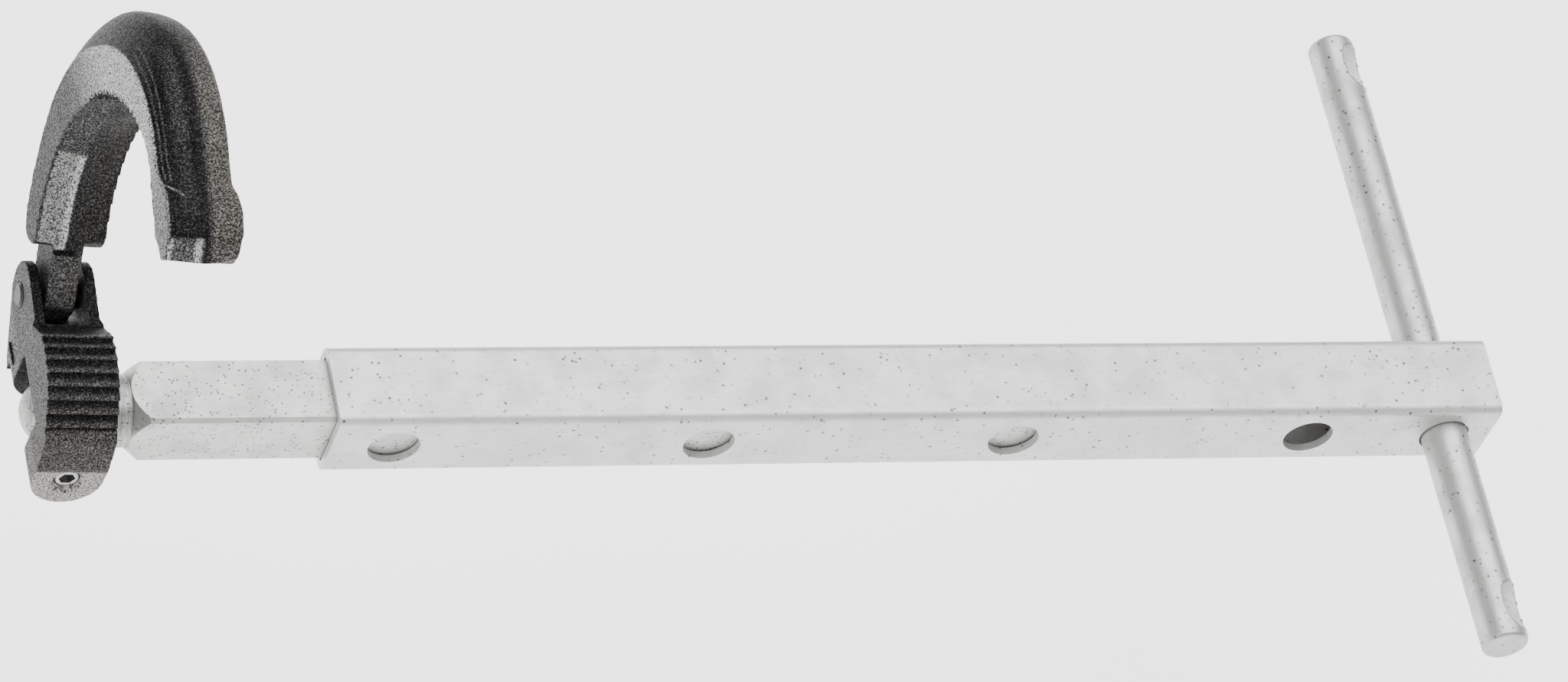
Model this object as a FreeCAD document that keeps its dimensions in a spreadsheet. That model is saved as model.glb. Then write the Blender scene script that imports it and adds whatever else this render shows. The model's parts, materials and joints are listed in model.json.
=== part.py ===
import FreeCAD, Part

import math
import os

import Sketcher

# A telescoping basin wrench.  A square tube carries a sliding T handle at one end.  A solid square
# bar slides in the tube and clicks into its cross holes.  A forged head swivels on the bar's domed
# end, and a C-shaped hook jaw pivots in the head's fork against the head's ribbed face.
#
# Frame: X runs along the tube, from the jaws to the handle.  Y is the direction of the handle and of
# every cross hole.  Z is up.  The origin is on the tube's axis, at the last locking hole.
# Lengths are millimetres and angles are degrees.

DIMENSIONS = {
    # outer tube
    "tube_length": 246.0,
    "tube_side": 18.0,
    "tube_wall": 1.6,
    "tube_corner": 2.0,
    "tube_inner_corner": 0.5,
    "lock_hole_radius": 5.2,
    "lock_hole_pitch": 64.3,
    "mouth_to_first_hole": 12.7,
    "last_hole_to_handle": 30.4,
    # T handle
    "handle_radius": 4.8,
    "handle_length": 148.0,
    "handle_offset": 14.7,
    "handle_end_chamfer": 0.8,
    "press_front_margin": 14.5,
    "press_back_margin": 9.5,
    "press_half_length": 5.5,
    "press_depth": 1.1,
    "press_swell": 0.8,
    # inner bar
    "bar_clearance": 0.3,
    "bar_corner": 0.75,
    "bar_shown": 39.4,
    "tail_to_last_hole": 18.5,
    "neck_radius": 7.0,
    "neck_length": 13.2,
    "cone_angle": 40.0,
    # ball detent
    "ball_radius": 4.0,
    "ball_bore_clearance": 0.05,
    "ball_to_tail": 12.0,
    "ball_bore_depth": 12.4,
    "ball_wall_gap": 0.03,
    "detent_wire_radius": 0.4,
    "detent_coil_radius": 2.6,
    "detent_turns": 3.0,
    # swivel head
    "head_width": 14.0,
    "head_lean": 2.5,
    "neck_gap": 0.35,
    "bridge_gap": 0.8,
    "lug_radius": 7.0,
    "front_lug": 8.65,
    "back_lug": 6.65,
    "rib_arc_radius": 15.1,
    "rib_arc_y": 0.3,
    "rib_arc_z": 5.2,
    "rib_first_angle": 57.3,
    "rib_pitch_angle": 10.2,
    "rib_depth": 0.95,
    "fork_width": 12.8,
    "fork_top": 16.4,
    "fork_end_radius": 5.7,
    "slot_width": 8.8,
    "slot_front": 9.4,
    # swivel pin and lock screw
    "swivel_pin_radius": 2.5,
    "pin_clearance": 0.05,
    "pin_end_depth": 1.4,
    "pin_chamfer": 0.4,
    "screw_length": 4.2,
    "screw_chamfer": 0.35,
    "screw_recess": 0.9,
    "countersink": 1.0,
    "screw_socket": 1.45,
    "screw_socket_depth": 2.2,
    # hook jaw
    "hook_thickness": 14.0,
    "hook_shift": -0.5,
    "hook_tilt": 3.5,
    "hook_inner_radius": 35.0,
    "hook_outer_radius": 38.2,
    "hook_draft": 2.1,
    "hook_ridge": 1.0,
    "hook_inner_ridge": 0.6,
    "tooth_depth": 1.0,
    "tooth_angle": 4.2,
    "tang_thickness": 6.0,
    "tang_shift": -0.6,
    "tang_eye_radius": 5.5,
    "tang_gap": 0.5,
    "jaw_pin_radius": 2.4,
    "jaw_pin_y": 20.3,
    "jaw_pin_z": 9.2,
    "jaw_hole_clearance": 0.25,
    "jaw_pin_head": 0.45,
    "drag_wire_radius": 0.4,
    "drag_coil_radius": 3.35,
    "drag_turns": 1.0,
}

LOCK_HOLES = 4
RIBS = 8
TEETH = 18

os.makedirs("parts", exist_ok=True)
doc = FreeCAD.newDocument("basin_wrench")
sheet = doc.addObject("Spreadsheet::Sheet", "sizes")
for row, (alias, size) in enumerate(DIMENSIONS.items(), start=1):
    sheet.set("A%d" % row, alias)
    sheet.set("B%d" % row, str(size))
    sheet.setAlias("B%d" % row, alias)
doc.recompute()


def size_of(alias):
    """The value of one named size, read from the sheet."""
    return float(sheet.get(alias))


def vector(x, y, z):
    """A point or direction."""
    return FreeCAD.Vector(x, y, z)


def bind(thing, path, expression):
    """Ties a property to the sheet: a word with a dollar sign before it is an alias."""
    thing.setExpression(path, expression.replace("$", "sizes."))


# ---------------------------------------------------------------------------------------------
# Places that several pieces share, worked out from the sheet
# ---------------------------------------------------------------------------------------------

TUBE_MOUTH = -(size_of("mouth_to_first_hole") + (LOCK_HOLES - 1) * size_of("lock_hole_pitch"))
TUBE_SIDE_HALF = size_of("tube_side") / 2
TUBE_BORE_HALF = TUBE_SIDE_HALF - size_of("tube_wall")
BAR_HALF = TUBE_BORE_HALF - size_of("bar_clearance")
NECK_RADIUS = size_of("neck_radius")
CONE_RUN = 1.0 / math.tan(math.radians(size_of("cone_angle")))
BAR_FLAT_START = size_of("neck_length") + (BAR_HALF - NECK_RADIUS) * CONE_RUN
SWIVEL_X = TUBE_MOUTH - size_of("bar_shown") - BAR_FLAT_START
BAR_TAIL_X = -size_of("tail_to_last_hole")
BALL_X = BAR_TAIL_X - size_of("ball_to_tail")
BALL_Y = -(TUBE_BORE_HALF - size_of("ball_wall_gap") - size_of("ball_radius"))
HANDLE_X = size_of("last_hole_to_handle")

LUG_GAP_HALF = NECK_RADIUS + size_of("neck_gap")
HEAD_FRONT = -(LUG_GAP_HALF + size_of("front_lug"))
HEAD_LUG_BACK = LUG_GAP_HALF + size_of("back_lug")
BRIDGE_UNDERSIDE = NECK_RADIUS + size_of("bridge_gap")
PIVOT_Y = size_of("jaw_pin_y")
PIVOT_Z = size_of("jaw_pin_z")


# ---------------------------------------------------------------------------------------------
# Helpers for sketches, features and placements
# ---------------------------------------------------------------------------------------------


def new_body(label):
    """An empty body with its label."""
    body = doc.addObject("PartDesign::Body", label)
    body.Label = label
    return body


def plane_of(body, role):
    """One of the body's own origin planes or axes, found by its role."""
    for feature in body.Origin.OriginFeatures:
        if feature.Role == role:
            return feature
    raise ValueError(role)


def new_sketch(body, role, name):
    """An empty sketch on one of the body's own origin planes."""
    sketch = body.newObject("Sketcher::SketchObject", name)
    sketch.AttachmentSupport = [(plane_of(body, role), "")]
    sketch.MapMode = "FlatFace"
    return sketch


def square_sketch(body, role, name, side):
    """A square centred on the sketch's origin, its side bound to the sheet."""
    sketch = new_sketch(body, role, name)
    corners = [(-1, -1), (1, -1), (1, 1), (-1, 1)]
    for index in range(4):
        first = corners[index]
        second = corners[(index + 1) % 4]
        sketch.addGeometry(Part.LineSegment(vector(*first, 0), vector(*second, 0)), False)
    for index in range(4):
        sketch.addConstraint(Sketcher.Constraint("Coincident", index, 2, (index + 1) % 4, 1))
    sketch.addConstraint(Sketcher.Constraint("Horizontal", 0))
    sketch.addConstraint(Sketcher.Constraint("Horizontal", 2))
    sketch.addConstraint(Sketcher.Constraint("Vertical", 1))
    sketch.addConstraint(Sketcher.Constraint("Vertical", 3))
    sketch.addConstraint(Sketcher.Constraint("Symmetric", 0, 1, 1, 2, -1, 1))
    wide = sketch.addConstraint(Sketcher.Constraint("DistanceX", 0, 1, 0, 2, 2.0))
    high = sketch.addConstraint(Sketcher.Constraint("DistanceY", 1, 1, 1, 2, 2.0))
    bind(sketch, "Constraints[%d]" % wide, side)
    bind(sketch, "Constraints[%d]" % high, side)
    return sketch


def circle_sketch(body, role, name, radius, across="0 mm", up="0 mm"):
    """A circle whose radius and centre are bound to the sheet."""
    sketch = new_sketch(body, role, name)
    sketch.addGeometry(Part.Circle(vector(1, 1, 0), vector(0, 0, 1), 1.0), False)
    round_ = sketch.addConstraint(Sketcher.Constraint("Radius", 0, 1.0))
    right = sketch.addConstraint(Sketcher.Constraint("DistanceX", -1, 1, 0, 3, 1.0))
    above = sketch.addConstraint(Sketcher.Constraint("DistanceY", -1, 1, 0, 3, 1.0))
    bind(sketch, "Constraints[%d]" % round_, radius)
    bind(sketch, "Constraints[%d]" % right, across)
    bind(sketch, "Constraints[%d]" % above, up)
    return sketch


def outline_sketch(body, role, name, edges):
    """A closed outline of lines and arcs, given as edges in the sketch's plane."""
    sketch = new_sketch(body, role, name)
    for edge in edges:
        sketch.addGeometry(edge, False)
    return sketch


def line(first, second):
    """A straight edge between two points of a sketch."""
    return Part.LineSegment(vector(first[0], first[1], 0), vector(second[0], second[1], 0))


def arc(first, middle, second):
    """A circular edge through three points of a sketch."""
    points = [vector(point[0], point[1], 0) for point in (first, middle, second)]
    return Part.Arc(*points)


def polygon(points):
    """Lines that join the points in order and close on the first."""
    following = points[1:] + points[:1]
    return [line(first, second) for first, second in zip(points, following)]


def pad(body, sketch, name, length, midplane=False):
    """Extrudes a sketch by a length, or half of it each way."""
    feature = body.newObject("PartDesign::Pad", name)
    feature.Profile = sketch
    bind(feature, "Length", length)
    feature.Midplane = midplane
    doc.recompute()
    return feature


def cut(body, sketch, name, length=None, reverse=False, midplane=False):
    """A pocket: of the given length, or through everything when there is none."""
    before = body.Shape.Volume
    feature = body.newObject("PartDesign::Pocket", name)
    feature.Profile = sketch
    if length is None:
        feature.Type = "ThroughAll"
    else:
        bind(feature, "Length", length)
    feature.Midplane = midplane
    feature.Reversed = reverse
    doc.recompute()
    if not body.Shape.Volume < before - 1e-6:
        raise ValueError("%s cuts nothing" % name)
    return feature


def edges_where(shape, test):
    """Names of the shape's edges that pass the test."""
    return ["Edge%d" % (index + 1) for index, edge in enumerate(shape.Edges) if test(edge)]


def is_line_along(edge, axis):
    """True when a straight edge runs along the axis, given by number."""
    if not isinstance(edge.Curve, (Part.Line, Part.LineSegment)):
        return False
    direction = edge.Vertexes[1].Point - edge.Vertexes[0].Point
    direction.normalize()
    return abs(abs(direction[axis]) - 1.0) < 1e-6


def is_circle_on_end(edge, axis, places):
    """True when a circular edge lies in one of the planes square to the axis."""
    if not isinstance(edge.Curve, Part.Circle):
        return False
    return any(abs(edge.Curve.Center[axis] - place) < 1e-4 for place in places)


def round_edges(body, kind, name, size, test):
    """A PartDesign Fillet or Chamfer on the edges of the body's tip that pass the test."""
    tip = body.Tip
    feature = body.newObject("PartDesign::" + kind, name)
    feature.Base = (tip, edges_where(tip.Shape, test))
    bind(feature, "Radius" if kind == "Fillet" else "Size", size)
    doc.recompute()
    return feature


def head_place():
    """The head's own frame: its origin on the swivel pin, leaning a little towards the tube."""
    turn = FreeCAD.Rotation(vector(0, 1, 0), size_of("head_lean"))
    return FreeCAD.Placement(vector(SWIVEL_X, 0, 0), turn)


def hook_place():
    """The hook's own frame: its origin on the jaw pin, tilted a little more by the slack there."""
    tilt = FreeCAD.Rotation(vector(0, 1, 0), size_of("hook_tilt"))
    return head_place().multiply(FreeCAD.Placement(vector(0, PIVOT_Y, PIVOT_Z), tilt))


def place(thing, placement):
    """Puts a piece in the wrench's frame, its position bound to the worked-out place."""
    thing.Placement = placement


# ---------------------------------------------------------------------------------------------
# Outer tube
# ---------------------------------------------------------------------------------------------


def make_tube():
    """The square outer tube with its lock holes and the holes that the T handle slides in."""
    body = new_body("outer_tube")
    outside = square_sketch(body, "YZ_Plane", "tube_outside", "$tube_side")
    pad(body, outside, "tube_pad", "$tube_length")
    round_edges(body, "Fillet", "tube_corners", "$tube_corner", lambda edge: is_line_along(edge, 0))
    inside = square_sketch(body, "YZ_Plane", "tube_inside", "$tube_side - 2 * $tube_wall")
    cut(body, inside, "tube_bore", reverse=True)
    round_edges(
        body,
        "Fillet",
        "tube_bore_corners",
        "$tube_inner_corner",
        lambda edge: is_line_along(edge, 0)
        and abs(abs(edge.CenterOfMass.y) - TUBE_BORE_HALF) < 1e-3
        and abs(abs(edge.CenterOfMass.z) - TUBE_BORE_HALF) < 1e-3,
    )
    first = circle_sketch(body, "XZ_Plane", "first_hole", "$lock_hole_radius", "$mouth_to_first_hole")
    first_cut = cut(body, first, "first_hole_cut", midplane=True)
    row = body.newObject("PartDesign::LinearPattern", "hole_row")
    row.Originals = [first_cut]
    row.Direction = (plane_of(body, "X_Axis"), [""])
    bind(row, "Length", "%d * $lock_hole_pitch" % (LOCK_HOLES - 1))
    row.Occurrences = LOCK_HOLES
    body.Tip = row
    doc.recompute()
    across = "$mouth_to_first_hole + %d * $lock_hole_pitch + $last_hole_to_handle" % (LOCK_HOLES - 1)
    handle_hole = circle_sketch(body, "XZ_Plane", "handle_hole", "$lock_hole_radius", across)
    cut(body, handle_hole, "handle_hole_cut", midplane=True)
    place(body, FreeCAD.Placement(vector(TUBE_MOUTH, 0, 0), FreeCAD.Rotation()))
    return body


# ---------------------------------------------------------------------------------------------
# T handle: a round rod, pressed flat from both sides near each end so that it can't slip out
# ---------------------------------------------------------------------------------------------


def make_handle():
    """The T handle: a round rod, pressed near both ends so that it can't slide out."""
    rod = doc.addObject("Part::Cylinder", "handle_rod")
    bind(rod, "Radius", "$handle_radius")
    bind(rod, "Height", "$handle_length")
    doc.recompute()
    blunt = doc.addObject("Part::Chamfer", "handle_blunt")
    blunt.Base = rod
    chamfer = size_of("handle_end_chamfer")
    ends = [
        (index + 1, chamfer, chamfer)
        for index, edge in enumerate(rod.Shape.Edges)
        if is_circle_on_end(edge, 2, (0.0, size_of("handle_length")))
    ]
    blunt.Edges = ends
    swells = []
    presses = []
    for name, height in (
        ("front", "$press_front_margin"),
        ("back", "$handle_length - $press_back_margin"),
    ):
        swell = doc.addObject("Part::Ellipsoid", "swell_" + name)
        bind(swell, "Radius1", "$press_half_length")
        bind(swell, "Radius2", "$handle_radius * 0.8")
        bind(swell, "Radius3", "$handle_radius + $press_swell")
        bind(swell, "Placement.Base.z", height)
        swells.append(swell)
        for side in (-1, 1):
            press = doc.addObject("Part::Ellipsoid", "press_%s_%s" % (name, "left" if side < 0 else "right"))
            bind(press, "Radius1", "$press_half_length")
            bind(press, "Radius2", "$press_depth * 2")
            bind(press, "Radius3", "$handle_radius * 0.62")
            bind(press, "Placement.Base.x", "%d * ($handle_radius + $press_depth)" % side)
            bind(press, "Placement.Base.z", height)
            presses.append(press)
    doc.recompute()
    swollen = doc.addObject("Part::MultiFuse", "handle_swollen")
    swollen.Shapes = [blunt] + swells
    dents = doc.addObject("Part::MultiFuse", "handle_dents")
    dents.Shapes = presses
    handle = doc.addObject("Part::Cut", "cross_handle")
    handle.Base = swollen
    handle.Tool = dents
    handle.Label = "cross_handle"
    doc.recompute()
    front_end = size_of("handle_offset") - size_of("handle_length") / 2
    along_y = FreeCAD.Rotation(vector(1, 0, 0), -90)
    place(handle, FreeCAD.Placement(vector(HANDLE_X, front_end, 0), along_y))
    return handle


# ---------------------------------------------------------------------------------------------
# Inner bar: square, turned to a cone, a round neck and a domed end round the swivel pin
# ---------------------------------------------------------------------------------------------


def make_bar():
    """The square inner bar: a turned neck and dome in front, and the ball's bore near its tail."""
    body = new_body("inner_bar")
    square = square_sketch(body, "YZ_Plane", "bar_square", "$tube_side - 2 * ($tube_wall + $bar_clearance)")
    length = BAR_TAIL_X - SWIVEL_X
    bar = body.newObject("PartDesign::Pad", "bar_pad")
    bar.Profile = square
    bar.Length = length
    bar.Type2 = "Length"
    bind(bar, "Length2", "$neck_radius")
    bar.SideType = "Two sides"
    doc.recompute()
    round_edges(body, "Chamfer", "bar_corners", "$bar_corner", lambda edge: is_line_along(edge, 0))
    # the turned end: everything outside the dome, the neck and the cone is removed
    reach = 2 * BAR_HALF
    dome_corner = NECK_RADIUS * math.sqrt(0.5)
    turned = [
        arc((-NECK_RADIUS, 0), (-dome_corner, dome_corner), (0, NECK_RADIUS)),
        line((0, NECK_RADIUS), (size_of("neck_length"), NECK_RADIUS)),
        line(
            (size_of("neck_length"), NECK_RADIUS),
            (size_of("neck_length") + (reach - NECK_RADIUS) * CONE_RUN, reach),
        ),
        line(
            (size_of("neck_length") + (reach - NECK_RADIUS) * CONE_RUN, reach),
            (-2 * NECK_RADIUS, reach),
        ),
        line((-2 * NECK_RADIUS, reach), (-2 * NECK_RADIUS, 0)),
        line((-2 * NECK_RADIUS, 0), (-NECK_RADIUS, 0)),
    ]
    sketch = outline_sketch(body, "XY_Plane", "turned_end", turned)
    before = body.Shape.Volume
    groove = body.newObject("PartDesign::Groove", "turned_end_cut")
    groove.Profile = sketch
    groove.ReferenceAxis = (plane_of(body, "X_Axis"), [""])
    groove.Angle = 360.0
    doc.recompute()
    if not body.Shape.Volume < before - 1.0:
        raise ValueError("the turned end cuts nothing")
    eye = circle_sketch(body, "XZ_Plane", "eye", "$swivel_pin_radius + $pin_clearance")
    cut(body, eye, "eye_cut", midplane=True)
    ball_bore = circle_sketch(body, "XZ_Plane", "ball_bore", "$ball_radius + $ball_bore_clearance")
    ball_bore.setExpression("Constraints[1]", None)
    ball_bore.setDatum(1, FreeCAD.Units.Quantity("%f mm" % (BALL_X - SWIVEL_X)))
    floor_y = "$ball_bore_depth - ($tube_side / 2 - $tube_wall - $bar_clearance)"
    bind(ball_bore, "AttachmentOffset.Base.z", "-(%s)" % floor_y)
    cut(body, ball_bore, "ball_bore_cut", "$ball_bore_depth + 1", reverse=True)
    place(body, FreeCAD.Placement(vector(SWIVEL_X, 0, 0), FreeCAD.Rotation()))
    return body


def make_ball():
    """The ball that clicks into the lock holes."""
    ball = doc.addObject("Part::Sphere", "detent_ball")
    ball.Label = "detent_ball"
    bind(ball, "Radius", "$ball_radius")
    place(ball, FreeCAD.Placement(vector(BALL_X, BALL_Y, 0), FreeCAD.Rotation()))
    return ball


def coil(radius, wire_radius, pitch, turns):
    """A round wire wound on a helix about Z, its first turn's centre line at height zero."""
    helix = Part.makeHelix(pitch, pitch * turns, radius)
    start = helix.Edges[0].valueAt(helix.Edges[0].FirstParameter)
    tangent = helix.Edges[0].tangentAt(helix.Edges[0].FirstParameter)
    section = Part.Wire([Part.makeCircle(wire_radius, start, tangent)])
    return Part.Wire(helix.Edges).makePipeShell([section], True, True)


def make_detent_spring():
    """The coil behind the ball."""
    wire = size_of("detent_wire_radius")
    bore_floor = size_of("ball_bore_depth") - BAR_HALF
    ball_back = BALL_Y + size_of("ball_radius")
    # the coil's ring touches the ball a little off its axis, so it may reach past the ball's back
    contact = size_of("ball_radius") ** 2 - size_of("detent_coil_radius") ** 2
    ring = BALL_Y + math.sqrt(contact) + 2.2 * wire
    room = bore_floor - 1.5 * wire - max(ring, ball_back - size_of("ball_radius") / 2)
    spring = doc.addObject("Part::Feature", "detent_spring")
    spring.Label = "detent_spring"
    turns = size_of("detent_turns")
    spring.Shape = coil(size_of("detent_coil_radius"), wire, room / turns, turns)
    towards_ball = FreeCAD.Rotation(vector(1, 0, 0), 90)
    place(spring, FreeCAD.Placement(vector(BALL_X, bore_floor - 1.5 * wire, 0), towards_ball))
    return spring


# ---------------------------------------------------------------------------------------------
# Swivel head: two lugs about the neck, a bridge with the ribbed jaw face, and a fork behind
# ---------------------------------------------------------------------------------------------


def on_rib_arc(angle, radius):
    """A point of the jaw face: the angle is from straight up, positive towards the front."""
    turn = math.radians(angle)
    return (
        size_of("rib_arc_y") - radius * math.sin(turn),
        size_of("rib_arc_z") + radius * math.cos(turn),
    )


def rib_points():
    """Saw teeth on the arc: each has a steep front flank and a face that falls gently behind it."""
    outer = size_of("rib_arc_radius")
    inner = outer - size_of("rib_depth")
    points = []
    for index in range(RIBS):
        angle = size_of("rib_first_angle") - index * size_of("rib_pitch_angle")
        points.append(on_rib_arc(angle + 0.6, inner))
        points.append(on_rib_arc(angle, outer))
    return points


def head_outline():
    """The head's side outline in its own Y and Z, from the lugs' undersides round to the fork."""
    lug_bottom = -size_of("lug_radius")
    fork_radius = size_of("fork_end_radius")
    fork_back = PIVOT_Y + fork_radius
    corner = fork_radius * (1 - math.sqrt(0.5))
    first_rib = on_rib_arc(size_of("rib_first_angle"), size_of("rib_arc_radius"))
    face_end = (size_of("slot_front") - 0.4, size_of("fork_top") - 0.9)
    points = [(HEAD_FRONT, lug_bottom), (HEAD_FRONT, 4.6), (first_rib[0] - 2.2, first_rib[1] - 1.9)]
    points.append((first_rib[0] - 1.4, first_rib[1] - 1.2))
    points += rib_points()
    points += [face_end, (PIVOT_Y - fork_radius, size_of("fork_top") - 0.5)]
    fork_shoulder = (PIVOT_Y - 1.0, size_of("fork_top"))
    points.append(fork_shoulder)
    edges = [line(first, second) for first, second in zip(points, points[1:])]
    upper = (fork_back, size_of("fork_top") - fork_radius)
    middle = (fork_back - corner, size_of("fork_top") - corner)
    crown = (fork_back - fork_radius, size_of("fork_top"))
    edges.append(line(fork_shoulder, crown))
    edges.append(arc(crown, middle, upper))
    heel = (fork_back, PIVOT_Z)
    under = (PIVOT_Y, PIVOT_Z - fork_radius)
    edges.append(line(upper, heel))
    edges.append(arc(heel, (fork_back - corner, PIVOT_Z - fork_radius + corner), under))
    edges.append(line(under, (HEAD_LUG_BACK, -1.5)))
    edges.append(line((HEAD_LUG_BACK, -1.5), (HEAD_LUG_BACK, lug_bottom)))
    edges.append(line((HEAD_LUG_BACK, lug_bottom), (HEAD_FRONT, lug_bottom)))
    return edges


def make_head():
    """The forged head: two lugs about the neck, a ribbed jaw face and a slotted fork for the hook."""
    body = new_body("swivel_head")
    sketch = outline_sketch(body, "YZ_Plane", "head_side", head_outline())
    pad(body, sketch, "head_pad", "$head_width", midplane=True)
    # the lugs' ends are round about the swivel pin: the corners outside that radius are cut away
    radius = size_of("lug_radius")
    half = size_of("head_width") / 2
    low = radius * math.sqrt(0.5)
    for side, name in ((-1, "left"), (1, "right")):
        corner = [
            arc((0, -radius), (side * low, -low), (side * radius, 0)),
            line((side * radius, 0), (side * (half + 1), 0)),
            line((side * (half + 1), 0), (side * (half + 1), -radius - 1)),
            line((side * (half + 1), -radius - 1), (0, -radius - 1)),
            line((0, -radius - 1), (0, -radius)),
        ]
        sketch = outline_sketch(body, "XZ_Plane", "lug_end_" + name, corner)
        cut(body, sketch, "lug_end_cut_" + name, midplane=True)
    # the gap that the bar's neck swings in, open below and on both sides
    gap = polygon(
        [
            (-LUG_GAP_HALF, -radius - 1),
            (LUG_GAP_HALF, -radius - 1),
            (LUG_GAP_HALF, BRIDGE_UNDERSIDE),
            (-LUG_GAP_HALF, BRIDGE_UNDERSIDE),
        ]
    )
    cut(body, outline_sketch(body, "YZ_Plane", "neck_gap_outline", gap), "neck_gap_cut", midplane=True)
    # the fork is narrower than the ribbed block, and its slot takes the hook's tang
    fork_half = size_of("fork_width") / 2
    fork_front = size_of("slot_front")
    fork_back = PIVOT_Y + size_of("fork_end_radius") + 1
    for side, name in ((-1, "left"), (1, "right")):
        step = polygon(
            [
                (side * fork_half, fork_front + 1.5),
                (side * fork_half, fork_back),
                (side * (half + 1), fork_back),
                (side * (half + 1), fork_front - 2.0),
            ]
        )
        sketch = outline_sketch(body, "XY_Plane", "fork_step_" + name, step)
        cut(body, sketch, "fork_step_cut_" + name, reverse=True)
    # the slot has a floor over the back lug, which holds the swivel pin, and is open behind it
    slot_floor = PIVOT_Z - size_of("tang_eye_radius") - size_of("tang_gap")
    above = size_of("fork_top") + size_of("rib_arc_radius")
    slot = polygon(
        [
            (fork_front, slot_floor),
            (HEAD_LUG_BACK, slot_floor),
            (HEAD_LUG_BACK, -radius - 1),
            (fork_back, -radius - 1),
            (fork_back, above),
            (fork_front, above),
        ]
    )
    sketch = outline_sketch(body, "YZ_Plane", "slot_outline", slot)
    cut(body, sketch, "slot_cut", "$slot_width", midplane=True)
    bore = circle_sketch(body, "XZ_Plane", "swivel_bore", "$swivel_pin_radius + $pin_clearance")
    bind(bore, "AttachmentOffset.Base.z", "-($neck_radius + $neck_gap + $back_lug - $pin_end_depth)")
    cut(body, bore, "swivel_bore_cut", reverse=True)
    jaw_bore = circle_sketch(
        body, "YZ_Plane", "jaw_bore", "$jaw_pin_radius + $pin_clearance", "$jaw_pin_y", "$jaw_pin_z"
    )
    cut(body, jaw_bore, "jaw_bore_cut", midplane=True)
    bore_radius = size_of("swivel_pin_radius") + size_of("pin_clearance")
    round_edges(
        body,
        "Chamfer",
        "screw_countersink",
        "$countersink",
        lambda edge: is_circle_on_end(edge, 1, (HEAD_FRONT,)) and abs(edge.Curve.Radius - bore_radius) < 1e-3,
    )
    place(body, head_place())
    return body


def make_swivel_pin():
    """The plain pin that the neck turns on, from behind the lock screw to the back lug's blind end."""
    body = new_body("swivel_pin")
    sketch = circle_sketch(body, "XZ_Plane", "swivel_pin_round", "$swivel_pin_radius")
    front = HEAD_FRONT + size_of("screw_recess") + size_of("screw_length") + 0.1
    back = HEAD_LUG_BACK - size_of("pin_end_depth") - 0.1
    rod = pad(body, sketch, "swivel_pin_pad", "1 mm")
    rod.setExpression("Length", None)
    rod.Length = back - front
    doc.recompute()
    ends = (0.0, -(back - front))
    round_edges(
        body,
        "Chamfer",
        "swivel_pin_ends",
        "$pin_chamfer",
        lambda edge: is_circle_on_end(edge, 1, ends),
    )
    along = FreeCAD.Placement(vector(0, back, 0), FreeCAD.Rotation())
    place(body, head_place().multiply(along))
    return body


def make_lock_screw():
    """The hexagon socket set screw in the front lug, which closes on the pin."""
    body = new_body("lock_screw")
    sketch = circle_sketch(body, "XZ_Plane", "screw_round", "$swivel_pin_radius")
    pad(body, sketch, "screw_pad", "$screw_length")
    length = size_of("screw_length")
    ends = (0.0, -length)
    round_edges(body, "Chamfer", "screw_ends", "$screw_chamfer", lambda edge: is_circle_on_end(edge, 1, ends))
    across = size_of("screw_socket") / math.cos(math.radians(30))
    corners = [
        (across * math.cos(math.radians(60 * index)), across * math.sin(math.radians(60 * index)))
        for index in range(6)
    ]
    socket = outline_sketch(body, "XZ_Plane", "screw_socket", polygon(corners))
    bind(socket, "AttachmentOffset.Base.z", "$screw_length - $screw_socket_depth")
    cut(body, socket, "screw_socket_cut", "$screw_socket_depth + 1", reverse=True)
    front = HEAD_FRONT + size_of("screw_recess") + length
    place(body, head_place().multiply(FreeCAD.Placement(vector(0, front, 0), FreeCAD.Rotation())))
    return body


# ---------------------------------------------------------------------------------------------
# Hook jaw: a C-shaped forging whose rims fall away from a middle ridge, toothed inside
# ---------------------------------------------------------------------------------------------

# places in the hook's own plane, whose origin is the jaw pin; HOOK_CROWN is how far the middle
# ridge's circle leans back from the sides' circle
HOOK_INNER_CENTRE = (-22.0, 37.3)
HOOK_OUTER_CENTRE = (-14.3, 39.6)
HOOK_CROWN = (4.2, 0.8)


def ring_point(centre, radius, angle):
    """A point on a circle of the hook, the angle from +Y towards +Z."""
    turn = math.radians(angle)
    return (centre[0] + radius * math.cos(turn), centre[1] + radius * math.sin(turn))


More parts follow.
